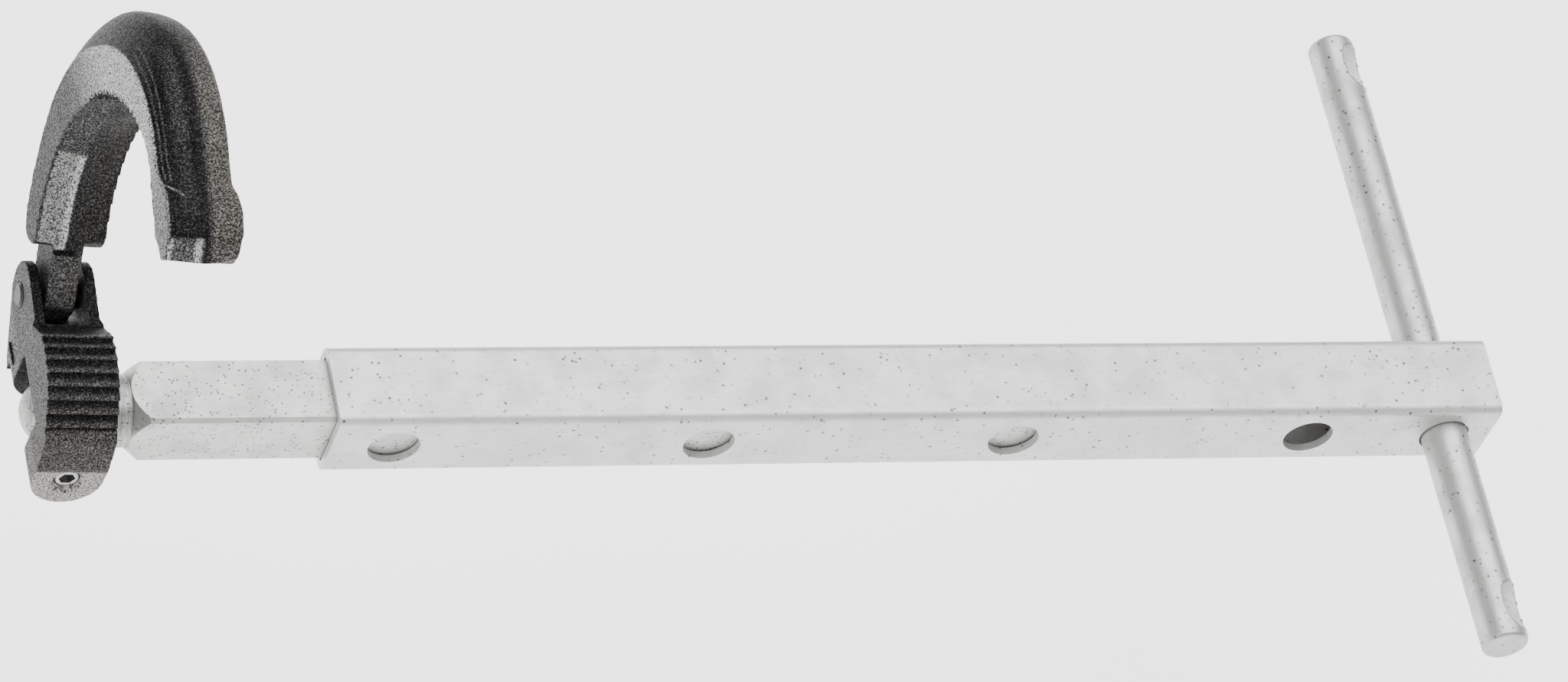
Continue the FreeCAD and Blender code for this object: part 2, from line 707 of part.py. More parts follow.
def hook_wire(place_x, centre, outer, ear_inset, inner_inset):
    """The hook's outline in the plane X = place_x.

    centre and outer are the back's circle, and the insets draw the tip's ear and the inside in
    from the ridge's outline.
    """
    inner = size_of("hook_inner_radius") + inner_inset
    leg_in = ring_point(HOOK_INNER_CENTRE, inner, -12)
    arc_in_mid = ring_point(HOOK_INNER_CENTRE, inner, 45)
    arc_in_end = ring_point(HOOK_INNER_CENTRE, inner, 97)
    arc_out_end = ring_point(centre, outer, 104)
    arc_out_mid = ring_point(centre, outer, 50)
    leg_out = ring_point(centre, outer, -10)
    points = [
        (2.4 + inner_inset, 12.6),
        (4.6 + inner_inset, 18.0),
        (8.0 + inner_inset, 24.3),
        leg_in,
    ]
    tip = [
        arc_in_end,
        (-31.0, 69.6 + inner_inset),
        (-35.0, 68.2 + inner_inset),
        (-38.9 + 0.5 * ear_inset, 68.9 + inner_inset),
        (-40.6 + 0.5 * ear_inset, 71.6),
        (-40.0 + ear_inset, 75.2 - 0.5 * ear_inset),
        (-37.0 + ear_inset, 78.2 - ear_inset),
        (-32.2 + 0.5 * ear_inset, 79.5 - ear_inset),
        arc_out_end,
    ]
    heel = [
        leg_out,
        (19.0 - 0.5 * ear_inset, 20.4),
        (16.0 - 0.5 * ear_inset, 12.8),
        (14.4 - 0.5 * ear_inset, 11.4),
    ]

    def lift(point):
        return vector(place_x, point[0], point[1])

    edges = [Part.LineSegment(lift(a), lift(b)).toShape() for a, b in zip(points, points[1:])]
    edges.append(Part.Arc(lift(leg_in), lift(arc_in_mid), lift(arc_in_end)).toShape())
    edges += [Part.LineSegment(lift(a), lift(b)).toShape() for a, b in zip(tip, tip[1:])]
    edges.append(Part.Arc(lift(arc_out_end), lift(arc_out_mid), lift(leg_out)).toShape())
    edges += [Part.LineSegment(lift(a), lift(b)).toShape() for a, b in zip(heel, heel[1:])]
    edges.append(Part.LineSegment(lift(heel[-1]), lift(points[0])).toShape())
    return Part.Wire(edges)


def tooth_cutter(angle, depth, width):
    """A V notch across the hook's inside at the given angle of its inner circle."""
    radius = size_of("hook_inner_radius")
    corners = [
        ring_point(HOOK_INNER_CENTRE, radius - 2.0, angle - width),
        ring_point(HOOK_INNER_CENTRE, radius - 2.0, angle + width),
        ring_point(HOOK_INNER_CENTRE, radius + depth, angle + width * 0.1),
    ]
    reach = size_of("hook_thickness")
    lifted = [vector(-reach, point[0], point[1]) for point in corners]
    return Part.Face(Part.makePolygon(lifted + lifted[:1])).extrude(vector(2 * reach, 0, 0))


def make_hook():
    """The hook: a C lofted through three outlines, toothed inside, with a tang and an eye."""
    half = size_of("hook_thickness") / 2
    shift = size_of("hook_shift")
    ridge = size_of("hook_ridge")
    draft = size_of("hook_draft")
    outer = size_of("hook_outer_radius")
    ridge_in = size_of("hook_inner_ridge")
    crown = (HOOK_OUTER_CENTRE[0] + HOOK_CROWN[0], HOOK_OUTER_CENTRE[1] + HOOK_CROWN[1])
    wires = [
        hook_wire(shift - half, HOOK_OUTER_CENTRE, outer - draft, 2 * ridge, ridge_in),
        hook_wire(shift, crown, outer, 0.0, 0.0),
        hook_wire(shift + half, HOOK_OUTER_CENTRE, outer, ridge, ridge_in),
    ]
    forging = Part.makeLoft(wires, True, True)
    for index in range(TEETH):
        angle = 97 - size_of("tooth_angle") * (index + 0.5)
        forging = forging.cut(tooth_cutter(angle, size_of("tooth_depth"), size_of("tooth_angle") / 2))
    # the tang: a thinner plate from the eye on the jaw pin up into the body
    eye = size_of("tang_eye_radius")
    tang_half = size_of("tang_thickness") / 2
    tang_x = size_of("tang_shift") - tang_half
    up_front = (2.0, 16.0)
    up_back = (13.6, 15.0)
    side = [
        vector(tang_x, -eye, 0),
        vector(tang_x, -eye, 4.0),
        vector(tang_x, up_front[0] - 0.8, up_front[1] - 3.6),
        vector(tang_x, up_front[0] + 2.4, up_front[1]),
        vector(tang_x, up_back[0], up_back[1]),
        vector(tang_x, up_back[0] - 1.0, up_back[1] - 4.0),
        vector(tang_x, eye, 3.2),
        vector(tang_x, eye, 0),
    ]
    web = Part.Face(Part.makePolygon(side + side[:1])).extrude(vector(2 * tang_half, 0, 0))
    disc = Part.makeCylinder(eye, 2 * tang_half, vector(tang_x, 0, 0), vector(1, 0, 0))
    hook = forging.fuse([web, disc]).removeSplitter()
    hole_radius = size_of("jaw_pin_radius") + size_of("jaw_hole_clearance")
    hole = Part.makeCylinder(hole_radius, 4 * half, vector(-2 * half, 0, 0), vector(1, 0, 0))
    jaw = doc.addObject("Part::Feature", "hook_jaw")
    jaw.Label = "hook_jaw"
    jaw.Shape = hook.cut(hole)
    place(jaw, hook_place())
    return jaw


def make_jaw_pin():
    """The rivet that the hook turns on, its ends peened just proud of the fork."""
    body = new_body("jaw_pin")
    sketch = circle_sketch(body, "YZ_Plane", "jaw_pin_round", "$jaw_pin_radius")
    pad(body, sketch, "jaw_pin_pad", "$fork_width + 2 * $jaw_pin_head", midplane=True)
    half = size_of("fork_width") / 2 + size_of("jaw_pin_head")
    ends = (-half, half)
    round_edges(
        body,
        "Chamfer",
        "jaw_pin_ends",
        "$jaw_pin_head * 0.9",
        lambda edge: is_circle_on_end(edge, 0, ends),
    )
    place(body, head_place().multiply(FreeCAD.Placement(vector(0, PIVOT_Y, PIVOT_Z), FreeCAD.Rotation())))
    return body


def make_jaw_spring():
    """The coil on the jaw pin that presses the tang aside, so that the hook stays where it is put."""
    wire = size_of("drag_wire_radius")
    cheek = size_of("slot_width") / 2 - 0.1
    turns = size_of("drag_turns")
    spring = doc.addObject("Part::Feature", "jaw_spring")
    spring.Label = "jaw_spring"
    spring.Shape = coil(size_of("drag_coil_radius"), wire, 2.15 * wire, turns)
    along_x = FreeCAD.Rotation(vector(0, 1, 0), -90)
    at_pin = FreeCAD.Placement(vector(cheek - wire, PIVOT_Y, PIVOT_Z), along_x)
    place(spring, head_place().multiply(at_pin))
    return spring


NODES = [
    make_tube(),
    make_handle(),
    make_bar(),
    make_ball(),
    make_detent_spring(),
    make_head(),
    make_swivel_pin(),
    make_lock_screw(),
    make_hook(),
    make_jaw_pin(),
    make_jaw_spring(),
]

doc.recompute()
for thing in doc.Objects:
    for state in thing.State:
        if state in ("Invalid", "Error"):
            raise ValueError("%s is %s" % (thing.Name, state))
for node in NODES:
    if node.Shape.isNull() or not node.Shape.isValid():
        raise ValueError("%s has no valid shape" % node.Label)
    if len(node.Shape.Solids) != 1:
        raise ValueError("%s is %d solids" % (node.Label, len(node.Shape.Solids)))
for node in NODES:
    node.Shape.exportStep("parts/%s.step" % node.Label)
    box = node.Shape.BoundBox
    print(
        "%-14s volume %9.1f  x %7.1f %7.1f  y %6.1f %6.1f  z %6.1f %6.1f"
        % (node.Label, node.Shape.Volume, box.XMin, box.XMax, box.YMin, box.YMax, box.ZMin, box.ZMax)
    )
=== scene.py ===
"""Looks of a telescoping basin wrench: zinc plated tube and bar, black forged head and hook."""

import json
import logging
import math
from abc import ABC, abstractmethod
from dataclasses import dataclass, field
from enum import Enum

import bmesh
import bpy
from mathutils import Matrix, Vector, noise


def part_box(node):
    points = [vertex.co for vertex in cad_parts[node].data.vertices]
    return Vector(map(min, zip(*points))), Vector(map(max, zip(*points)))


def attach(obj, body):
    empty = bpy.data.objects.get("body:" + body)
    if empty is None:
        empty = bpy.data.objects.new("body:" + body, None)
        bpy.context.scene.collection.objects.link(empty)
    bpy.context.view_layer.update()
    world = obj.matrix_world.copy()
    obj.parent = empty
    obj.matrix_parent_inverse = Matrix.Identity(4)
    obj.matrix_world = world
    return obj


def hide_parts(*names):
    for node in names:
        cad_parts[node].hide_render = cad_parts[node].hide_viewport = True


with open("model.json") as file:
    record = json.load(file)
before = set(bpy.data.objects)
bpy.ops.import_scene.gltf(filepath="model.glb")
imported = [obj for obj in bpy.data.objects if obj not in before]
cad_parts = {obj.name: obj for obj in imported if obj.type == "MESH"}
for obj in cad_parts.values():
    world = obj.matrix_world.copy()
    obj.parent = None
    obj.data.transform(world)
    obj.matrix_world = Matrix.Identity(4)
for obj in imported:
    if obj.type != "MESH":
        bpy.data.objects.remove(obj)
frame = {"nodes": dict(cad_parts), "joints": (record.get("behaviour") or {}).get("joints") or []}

log = logging.getLogger("basin_wrench")

MM = 0.001
# How far the bar's turned end reaches along X, in metres.
TURNED_END = 0.0205
# How far the head leans on its own axis, in degrees.
HEAD_LEAN = 2.5

Colour = tuple[float, float, float]
Place = tuple[float, float, float]
Span = tuple[float, float]
Outline = list[tuple[float, float]]

BLACK: Colour = (0.0, 0.0, 0.0)
WHITE: Colour = (1.0, 1.0, 1.0)


class Blend(Enum):
    """How a mix node puts its two colours together."""

    MIX = "MIX"
    MULTIPLY = "MULTIPLY"


class Graph:
    """The node tree of one material, with short calls that add and join its nodes."""

    def __init__(self, name: str) -> None:
        """Makes an empty material with a principled shader and an output.

        Args:
            name: the material's name.
        """
        self.material = bpy.data.materials.new(name)
        self.material.use_nodes = True
        self.tree = self.material.node_tree
        self.tree.nodes.clear()
        self.shader = self.tree.nodes.new("ShaderNodeBsdfPrincipled")
        output = self.tree.nodes.new("ShaderNodeOutputMaterial")
        self.tree.links.new(self.shader.outputs["BSDF"], output.inputs["Surface"])
        self.place = self.tree.nodes.new("ShaderNodeTexCoord").outputs["Object"]

    def join(self, source: bpy.types.NodeSocket, target: bpy.types.NodeSocket) -> None:
        """Links one socket to another."""
        self.tree.links.new(source, target)

    def stretched(self, scale: tuple[float, float, float]) -> bpy.types.NodeSocket:
        """The surface's place, scaled along each axis.

        Args:
            scale: the factor along X, Y and Z.

        Returns:
            The scaled place as a vector socket.
        """
        mapping = self.tree.nodes.new("ShaderNodeMapping")
        mapping.inputs["Scale"].default_value = scale
        self.join(self.place, mapping.inputs["Vector"])
        return mapping.outputs["Vector"]

    def grain(
        self,
        size_mm: float,
        detail: float = 4.0,
        roughness: float = 0.55,
        place: bpy.types.NodeSocket | None = None,
    ) -> bpy.types.NodeSocket:
        """Cloudy noise whose features are about one size.

        Args:
            size_mm: the size of the largest features.
            detail: how many finer layers are added.
            roughness: how strong the finer layers are.
            place: the vector that it is read at, or None for the surface's place.

        Returns:
            The noise as a value socket, from 0 to 1.
        """
        node = self.tree.nodes.new("ShaderNodeTexNoise")
        node.inputs["Scale"].default_value = 1.0 / (size_mm * MM)
        node.inputs["Detail"].default_value = detail
        node.inputs["Roughness"].default_value = roughness
        self.join(place or self.place, node.inputs["Vector"])
        return node.outputs["Fac"]

    def cells(self, size_mm: float) -> bpy.types.NodeSocket:
        """Distance to the nearest of many scattered points, for pits and specks.

        Args:
            size_mm: the spacing of the points.

        Returns:
            The distance as a value socket.
        """
        node = self.tree.nodes.new("ShaderNodeTexVoronoi")
        node.inputs["Scale"].default_value = 1.0 / (size_mm * MM)
        self.join(self.place, node.inputs["Vector"])
        return node.outputs["Distance"]

    def ramp(
        self, value: bpy.types.NodeSocket, stops: list[tuple[float, Colour]]
    ) -> bpy.types.NodeSocket:
        """Turns a value into a colour.

        Args:
            value: the value socket.
            stops: positions from 0 to 1, each with its colour.

        Returns:
            The colour socket.
        """
        node = self.tree.nodes.new("ShaderNodeValToRGB")
        elements = node.color_ramp.elements
        while len(elements) < len(stops):
            elements.new(0.5)
        for element, (position, colour) in zip(elements, stops):
            element.position = position
            element.color = (*colour, 1.0)
        self.join(value, node.inputs["Fac"])
        return node.outputs["Color"]

    def mask(
        self, value: bpy.types.NodeSocket, low: float, high: float
    ) -> bpy.types.NodeSocket:
        """A smooth step from 0 at low to 1 at high.

        Args:
            value: the value socket.
            low: the value that gives 0.
            high: the value that gives 1, which may be below low.

        Returns:
            The mask as a value socket.
        """
        node = self.tree.nodes.new("ShaderNodeMapRange")
        node.interpolation_type = "SMOOTHSTEP"
        node.inputs["From Min"].default_value = low
        node.inputs["From Max"].default_value = high
        self.join(value, node.inputs["Value"])
        return node.outputs["Result"]

    def math(
        self,
        operation: str,
        first: bpy.types.NodeSocket,
        second: bpy.types.NodeSocket | float,
    ) -> bpy.types.NodeSocket:
        """One sum on two values.

        Args:
            operation: the math node's operation.
            first: the first value.
            second: the second value, a socket or a number.

        Returns:
            The result's socket.
        """
        node = self.tree.nodes.new("ShaderNodeMath")
        node.operation = operation
        self.join(first, node.inputs[0])
        if isinstance(second, (int, float)):
            node.inputs[1].default_value = second
        else:
            self.join(second, node.inputs[1])
        return node.outputs[0]

    def scaled(self, value: bpy.types.NodeSocket, span: Span) -> bpy.types.NodeSocket:
        """Stretches a value from 0 to 1 over a span of its own."""
        low, high = span
        return self.math("ADD", self.math("MULTIPLY", value, high - low), low)

    def attribute(self, name: str) -> bpy.types.NodeSocket:
        """A value kept on the mesh's points."""
        node = self.tree.nodes.new("ShaderNodeAttribute")
        node.attribute_name = name
        return node.outputs["Fac"]

    def mix(
        self,
        amount: bpy.types.NodeSocket | float,
        under: bpy.types.NodeSocket | Colour,
        over: bpy.types.NodeSocket | Colour,
        blend: Blend = Blend.MIX,
    ) -> bpy.types.NodeSocket:
        """Puts one colour over another.

        Args:
            amount: how much of the upper colour shows.
            under: the lower colour.
            over: the upper colour.
            blend: how they are put together.

        Returns:
            The mixed colour's socket.
        """
        node = self.tree.nodes.new("ShaderNodeMix")
        node.data_type = "RGBA"
        node.blend_type = blend.value
        if isinstance(amount, (int, float)):
            node.inputs[0].default_value = amount
        else:
            self.join(amount, node.inputs[0])
        for colour, socket in ((under, node.inputs[6]), (over, node.inputs[7])):
            if isinstance(colour, tuple):
                socket.default_value = (*colour, 1.0)
            else:
                self.join(colour, socket)
        return node.outputs[2]

    def bump(self, layers: list[tuple[bpy.types.NodeSocket, float]]) -> None:
        """Stacks height layers on the shader's normal.

        Args:
            layers: each layer's height socket and its depth in millimetres.
        """
        below = None
        for height, depth_mm in layers:
            node = self.tree.nodes.new("ShaderNodeBump")
            node.inputs["Distance"].default_value = depth_mm * MM
            self.join(height, node.inputs["Height"])
            if below is not None:
                self.join(below, node.inputs["Normal"])
            below = node.outputs["Normal"]
        if below is not None:
            self.join(below, self.shader.inputs["Normal"])

    def finish(
        self,
        colour: bpy.types.NodeSocket,
        roughness: bpy.types.NodeSocket,
        metallic: float,
    ) -> bpy.types.Material:
        """Joins the colour and roughness and sets how metallic the surface is.

        Args:
            colour: the colour's socket.
            roughness: the roughness's socket.
            metallic: from 0 to 1.

        Returns:
            The finished material.
        """
        self.join(colour, self.shader.inputs["Base Color"])
        self.join(roughness, self.shader.inputs["Roughness"])
        self.shader.inputs["Metallic"].default_value = metallic
        return self.material


@dataclass(frozen=True)
class ZincPlate:
    """Zinc plated steel: pale, cloudy, with a fine grain along the stock and small dark specks."""

    name: str
    pale: Colour = (0.63, 0.626, 0.618)
    cloud: Colour = (0.56, 0.556, 0.546)
    cloud_mm: float = 7.0
    cloud_range: Span = (0.35, 0.7)
    speck: Colour = (0.10, 0.098, 0.094)
    speck_spacing_mm: float = 1.5
    speck_size: float = 0.30
    speck_core: float = 0.4
    speck_depth_mm: float = 0.02
    patch: float = 0.50
    patch_mm: float = 1.6
    patch_edge: float = 0.08
    along: tuple[float, float, float] = (0.12, 1.0, 1.0)
    grain_mm: float = 0.5
    grain_depth_mm: float = 0.012
    streak: Colour = (0.86, 0.86, 0.86)
    fine_mm: float = 0.22
    fine_depth: float = 0.6
    roughness: Span = (0.34, 0.52)
    cloud_share: float = 0.6
    fine_share: float = 0.4
    metallic: float = 0.55
    turned_before: float | None = None
    turned_blur: float = 0.0004
    ring_mm: float = 1.0
    ring_stretch: tuple[float, float, float] = (4.0, 0.25, 0.25)
    ring_dark: Colour = (0.16, 0.155, 0.15)
    ring_pale: Colour = (0.86, 0.855, 0.84)
    ring_strength: float = 0.75

    def turned(self, graph: Graph, tint: bpy.types.NodeSocket, edge: float) -> bpy.types.NodeSocket:
        """Darkens the turned end of the stock and marks it with rings.

        Args:
            graph: the material's node tree.
            tint: the colour so far.
            edge: the place along X, in metres, where the turned end starts.

        Returns:
            The colour with the turned end on it.
        """
        parts = graph.tree.nodes.new("ShaderNodeSeparateXYZ")
        graph.join(graph.place, parts.inputs[0])
        zone = graph.mask(parts.outputs["X"], edge + self.turned_blur, edge - self.turned_blur)
        rings = graph.grain(self.ring_mm, 4.0, 0.65, graph.stretched(self.ring_stretch))
        worn = graph.ramp(rings, [(0.38, self.ring_dark), (0.62, self.ring_pale)])
        return graph.mix(zone, tint, graph.mix(self.ring_strength, tint, worn, Blend.MULTIPLY))

    def build(self) -> bpy.types.Material:
        """Makes the material.

        Returns:
            The material.
        """
        graph = Graph(self.name)
        drawn = graph.grain(self.grain_mm, 5.0, 0.6, graph.stretched(self.along))
        clouds = graph.grain(self.cloud_mm, 5.0, 0.6)
        tint = graph.mix(graph.mask(clouds, *self.cloud_range), self.pale, self.cloud)
        streaks = graph.ramp(drawn, [(0.3, self.streak), (0.7, WHITE)])
        tint = graph.mix(1.0, tint, streaks, Blend.MULTIPLY)
        cells = graph.cells(self.speck_spacing_mm)
        near = graph.mask(cells, self.speck_size, self.speck_core * self.speck_size)
        patches = graph.grain(self.patch_mm, 3.0, 0.7)
        patchy = graph.mask(patches, self.patch, self.patch + self.patch_edge)
        specks = graph.math("MULTIPLY", near, patchy)
        tint = graph.mix(specks, tint, self.speck)
        if self.turned_before is not None:
            tint = self.turned(graph, tint, self.turned_before)
        fine = graph.grain(self.fine_mm, 2.0, 0.7)
        cloudy = graph.math("MULTIPLY", clouds, self.cloud_share)
        worn = graph.math("ADD", cloudy, graph.math("MULTIPLY", fine, self.fine_share))
        rough = graph.scaled(graph.mask(worn, 0.3, 0.7), self.roughness)
        fine_depth_mm = self.fine_depth * self.grain_depth_mm
        graph.bump([(drawn, self.grain_depth_mm), (fine, fine_depth_mm), (near, -self.speck_depth_mm)])
        return graph.finish(tint, rough, self.metallic)


@dataclass(frozen=True)
class ForgedSkin:
    """Black oxide over a sandy forged skin, with a painted glint: a highlight painted into the colour on
    the sand's peaks. The points of the piece say how grey and how brown it is.
    """

    name: str
    brown: Colour = (1.12, 1.02, 0.90)
    plain: Colour = (1.0, 0.995, 0.985)
    pit: Colour = (0.12, 0.12, 0.12)
    pit_range: Span = (0.52, 0.42)
    painted_glint: Colour = (0.8, 0.8, 0.8)
    painted_glint_range: Span = (0.54, 0.62)
    painted_glint_per_tone: float = 1.3
    painted_glint_least: float = 0.045
    sand_mm: float = 0.34
    sand_depth_mm: float = 0.05
    cloud: Colour = (0.80, 0.80, 0.80)
    cloud_mm: float = 2.4
    cloud_depth_mm: float = 0.08
    roughness: Span = (0.42, 0.66)
    shine: float = 0.30
    ior: float = 1.22

    def build(self) -> bpy.types.Material:
        """Makes the material.

        Returns:
            The material.
        """
        graph = Graph(self.name)
        sand = graph.grain(self.sand_mm, 3.0, 0.65)
        coarse = graph.grain(self.cloud_mm, 4.0, 0.6)
        tone = graph.attribute("tone")
        grey = graph.ramp(tone, [(0.0, BLACK), (1.0, WHITE)])
        tint = graph.mix(graph.attribute("warm"), self.plain, self.brown)
        base = graph.mix(1.0, grey, tint, Blend.MULTIPLY)
        cloudy = graph.ramp(coarse, [(0.3, self.cloud), (0.7, WHITE)])
        base = graph.mix(1.0, base, cloudy, Blend.MULTIPLY)
        pits = graph.mask(sand, *self.pit_range)
        dark = graph.mix(1.0, base, self.pit, Blend.MULTIPLY)
        colour = graph.mix(pits, base, dark)
        # Painted highlight: the sand's peaks are lightened towards pale grey, more where the skin is
        # greyer.
        painted_glint_peaks = graph.mask(sand, *self.painted_glint_range)
        painted_glint_strength = graph.math("ADD", graph.math("MULTIPLY", tone, self.painted_glint_per_tone), self.painted_glint_least)
        colour = graph.mix(graph.math("MULTIPLY", painted_glint_peaks, painted_glint_strength), colour, self.painted_glint)
        rough = graph.scaled(pits, self.roughness)
        graph.bump([(coarse, self.cloud_depth_mm), (sand, self.sand_depth_mm)])
        graph.shader.inputs["Specular IOR Level"].default_value = self.shine
        graph.shader.inputs["IOR"].default_value = self.ior
        return graph.finish(colour, rough, 0.0)


@dataclass(frozen=True)
class BrightSteel:
    """Ground, polished or oiled steel in one tone, with fine scratches and darker stains."""

    name: str
    tone: Colour = (0.62, 0.62, 0.61)
    stain: Colour = (0.30, 0.30, 0.29)
    stain_mm: float = 2.2
    stain_range: Span = (0.5, 0.75)
    roughness: Span = (0.18, 0.36)
    metallic: float = 1.0
    grain_mm: float = 0.4
    depth_mm: float = 0.008

    def build(self) -> bpy.types.Material:
        """Makes the material.

        Returns:
            The material.
        """
        graph = Graph(self.name)
        lines = graph.grain(self.grain_mm, 4.0, 0.6)
        stains = graph.grain(self.stain_mm, 4.0, 0.6)
        colour = graph.mix(graph.mask(stains, *self.stain_range), self.tone, self.stain)
        rough = graph.scaled(lines, self.roughness)
        graph.bump([(lines, self.depth_mm)])
        return graph.finish(colour, rough, self.metallic)


@dataclass
class Axes:
    """A forging's own frame: its origin and its directions, given in the part's frame."""

    origin: Vector
    across: Vector
    back: Vector = field(default_factory=lambda: Vector((0.0, 1.0, 0.0)))

    @property
    def up(self) -> Vector:
        """The direction square to the other two."""
        return self.across.cross(self.back).normalized()

    def local(self, point: Vector) -> Vector:
        """A point of the part's frame, in this frame, in millimetres."""
        away = (point - self.origin) / MM
        return Vector((away.dot(self.across), away.dot(self.back), away.dot(self.up)))

    def placed(self, across: float, back: float, up: float) -> Vector:
        """A point given in this frame in millimetres, in the part's frame in metres."""
        return self.origin + (self.across * across + self.back * back + self.up * up) * MM


def linked(form: bmesh.types.BMesh, mesh_name: str, name: str) -> bpy.types.Object:
    """Turns a form into an object of the scene and frees it.

    Args:
        form: the form.
        mesh_name: the new mesh's name.
        name: the new object's name.

    Returns:
        The object.
    """
    mesh = bpy.data.meshes.new(mesh_name)
    form.to_mesh(mesh)
    form.free()
    piece = bpy.data.objects.new(name, mesh)
    bpy.context.scene.collection.objects.link(piece)
    return piece


@dataclass
class Forging(ABC):
    """A forged piece: a fine mesh with soft edges, a sandy skin and worn places."""

    node: str
    body: str
    slot: str
    axes: Axes
    voxel_mm: float = 0.30
    soften: int = 2
    soften_factor: float = 0.5
    sand_mm: float = 0.9
    sand_depth_mm: float = 0.045
    sand_fall: float = 0.8
    sand_step: float = 2.0
    sand_layers: int = 2

    @abstractmethod
    def solid(self) -> bpy.types.Object:
        """A fine mesh of the piece, at its place."""

    @abstractmethod
    def tone(self, place: Vector, normal: Vector) -> float:
        """The grey at a point, as the share of light that it sends back."""

    @abstractmethod
    def warmth(self, place: Vector, normal: Vector) -> float:
        """How brown the black is at a point, from 0 to 1."""

    def prism(self, form: bmesh.types.BMesh, loops: list[list[Vector]]) -> None:
        """Closes a stack of equal loops into a solid.

        Args:
            form: the form that the solid is added to.
            loops: the loops in order, each with the same number of points.
        """
        rows = [[form.verts.new(point) for point in loop] for loop in loops]
        for low, high in zip(rows, rows[1:]):
            for i, vertex in enumerate(low):
                after = (i + 1) % len(low)
                form.faces.new((vertex, low[after], high[after], high[i]))
        form.faces.new(list(reversed(rows[0])))
        form.faces.new(rows[-1])

    def cast(self, form: bmesh.types.BMesh, name: str) -> bpy.types.Object:
        """Turns a rough form of closed solids into the piece's one fine mesh.

        Args:
            form: the rough form, which is freed.
            name: the rough mesh's name.

        Returns:
            The piece, not yet dressed.
        """
        bmesh.ops.triangulate(form, faces=[face for face in form.faces if len(face.verts) > 4])
        bmesh.ops.recalc_face_normals(form, faces=form.faces)
        piece = linked(form, name, self.node + "_forging")
        self.remesh(piece)
        return piece

    def remesh(self, piece: bpy.types.Object) -> None:
        """Turns a piece's mesh into fine even faces with softened edges.

        Args:
            piece: the piece, whose mesh is replaced.
        """
        fine = piece.modifiers.new("remesh", "REMESH")
        fine.mode = "VOXEL"
        fine.voxel_size = self.voxel_mm * MM
        smooth = piece.modifiers.new("soften", "SMOOTH")
        smooth.factor = self.soften_factor
        smooth.iterations = self.soften
        bpy.context.view_layer.update()
        evaluated = piece.evaluated_get(bpy.context.evaluated_depsgraph_get())
        mesh = bpy.data.meshes.new_from_object(evaluated)
        piece.modifiers.clear()
        piece.data = mesh
        mesh.name = piece.name

    def skin(self, piece: bpy.types.Object) -> None:
        """Pushes the points in and out to a sandy skin, and keeps the tones on them.

        Args:
            piece: the piece, whose mesh is changed.
        """
        mesh = piece.data
        tones = mesh.attributes.new("tone", "FLOAT", "POINT")
        warmths = mesh.attributes.new("warm", "FLOAT", "POINT")
        turn = Matrix((self.axes.across, self.axes.back, self.axes.up))
        moved = []
        for vertex in mesh.vertices:
            place = self.axes.local(vertex.co)
            normal = turn @ vertex.normal
            tones.data[vertex.index].value = self.tone(place, normal)
            warmths.data[vertex.index].value = self.warmth(place, normal)
            sand = noise.fractal(place / self.sand_mm, self.sand_fall, self.sand_step, self.sand_layers)
            rise = sand * self.sand_depth_mm
            moved.append(vertex.co + vertex.normal * rise * MM)
        mesh.vertices.foreach_set("co", [value for point in moved for value in point])
        mesh.shade_smooth()
        mesh.update()

    def build(self, material: bpy.types.Material) -> bpy.types.Object:
        """Makes the forging, dresses it and puts it on its body.

        Args:
            material: the skin's material.

        Returns:
            The finished piece.
        """
        piece = self.solid()
        self.skin(piece)
        piece.data.materials.clear()
        piece.data.materials.append(material)
        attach(piece, self.body)
        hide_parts(self.node)
        log.info("%s: %d faces", piece.name, len(piece.data.polygons))
        return piece


def step(value: float, low: float, high: float) -> float:
    """A smooth step from 0 at low to 1 at high."""
    share = min(1.0, max(0.0, (value - low) / (high - low)))
    return share * share * (3.0 - 2.0 * share)


def streak(value: float, middle: float, half: float) -> float:
    """A soft line: 1 at its middle, falling to 0 at half its width away."""
    return max(0.0, 1.0 - abs(value - middle) / half)


def ring(centre: tuple[float, float], radius: float, degrees: float) -> tuple[float, float]:
    """A point on a circle at an angle from its first axis."""
    turn = math.radians(degrees)
    return centre[0] + radius * math.cos(turn), centre[1] + radius * math.sin(turn)


def blended(first: Outline, second: Outline, share: float) -> Outline:
    """The outline a share of the way from the first to the second."""
    return [
        (a[0] + (b[0] - a[0]) * share, a[1] + (b[1] - a[1]) * share)
        for a, b in zip(first, second)
    ]


def walked(points: Outline, steps: int) -> Outline:
    """Cuts each straight run between the points into equal steps.

    Args:
        points: the corners of the path.
        steps: how many steps each run gets.

    Returns:
        The path without its last point.
    """
    path = []
    for (x0, y0), (x1, y1) in zip(points, points[1:]):
        path += [(x0 + (x1 - x0) * i / steps, y0 + (y1 - y0) * i / steps) for i in range(steps)]
    return path


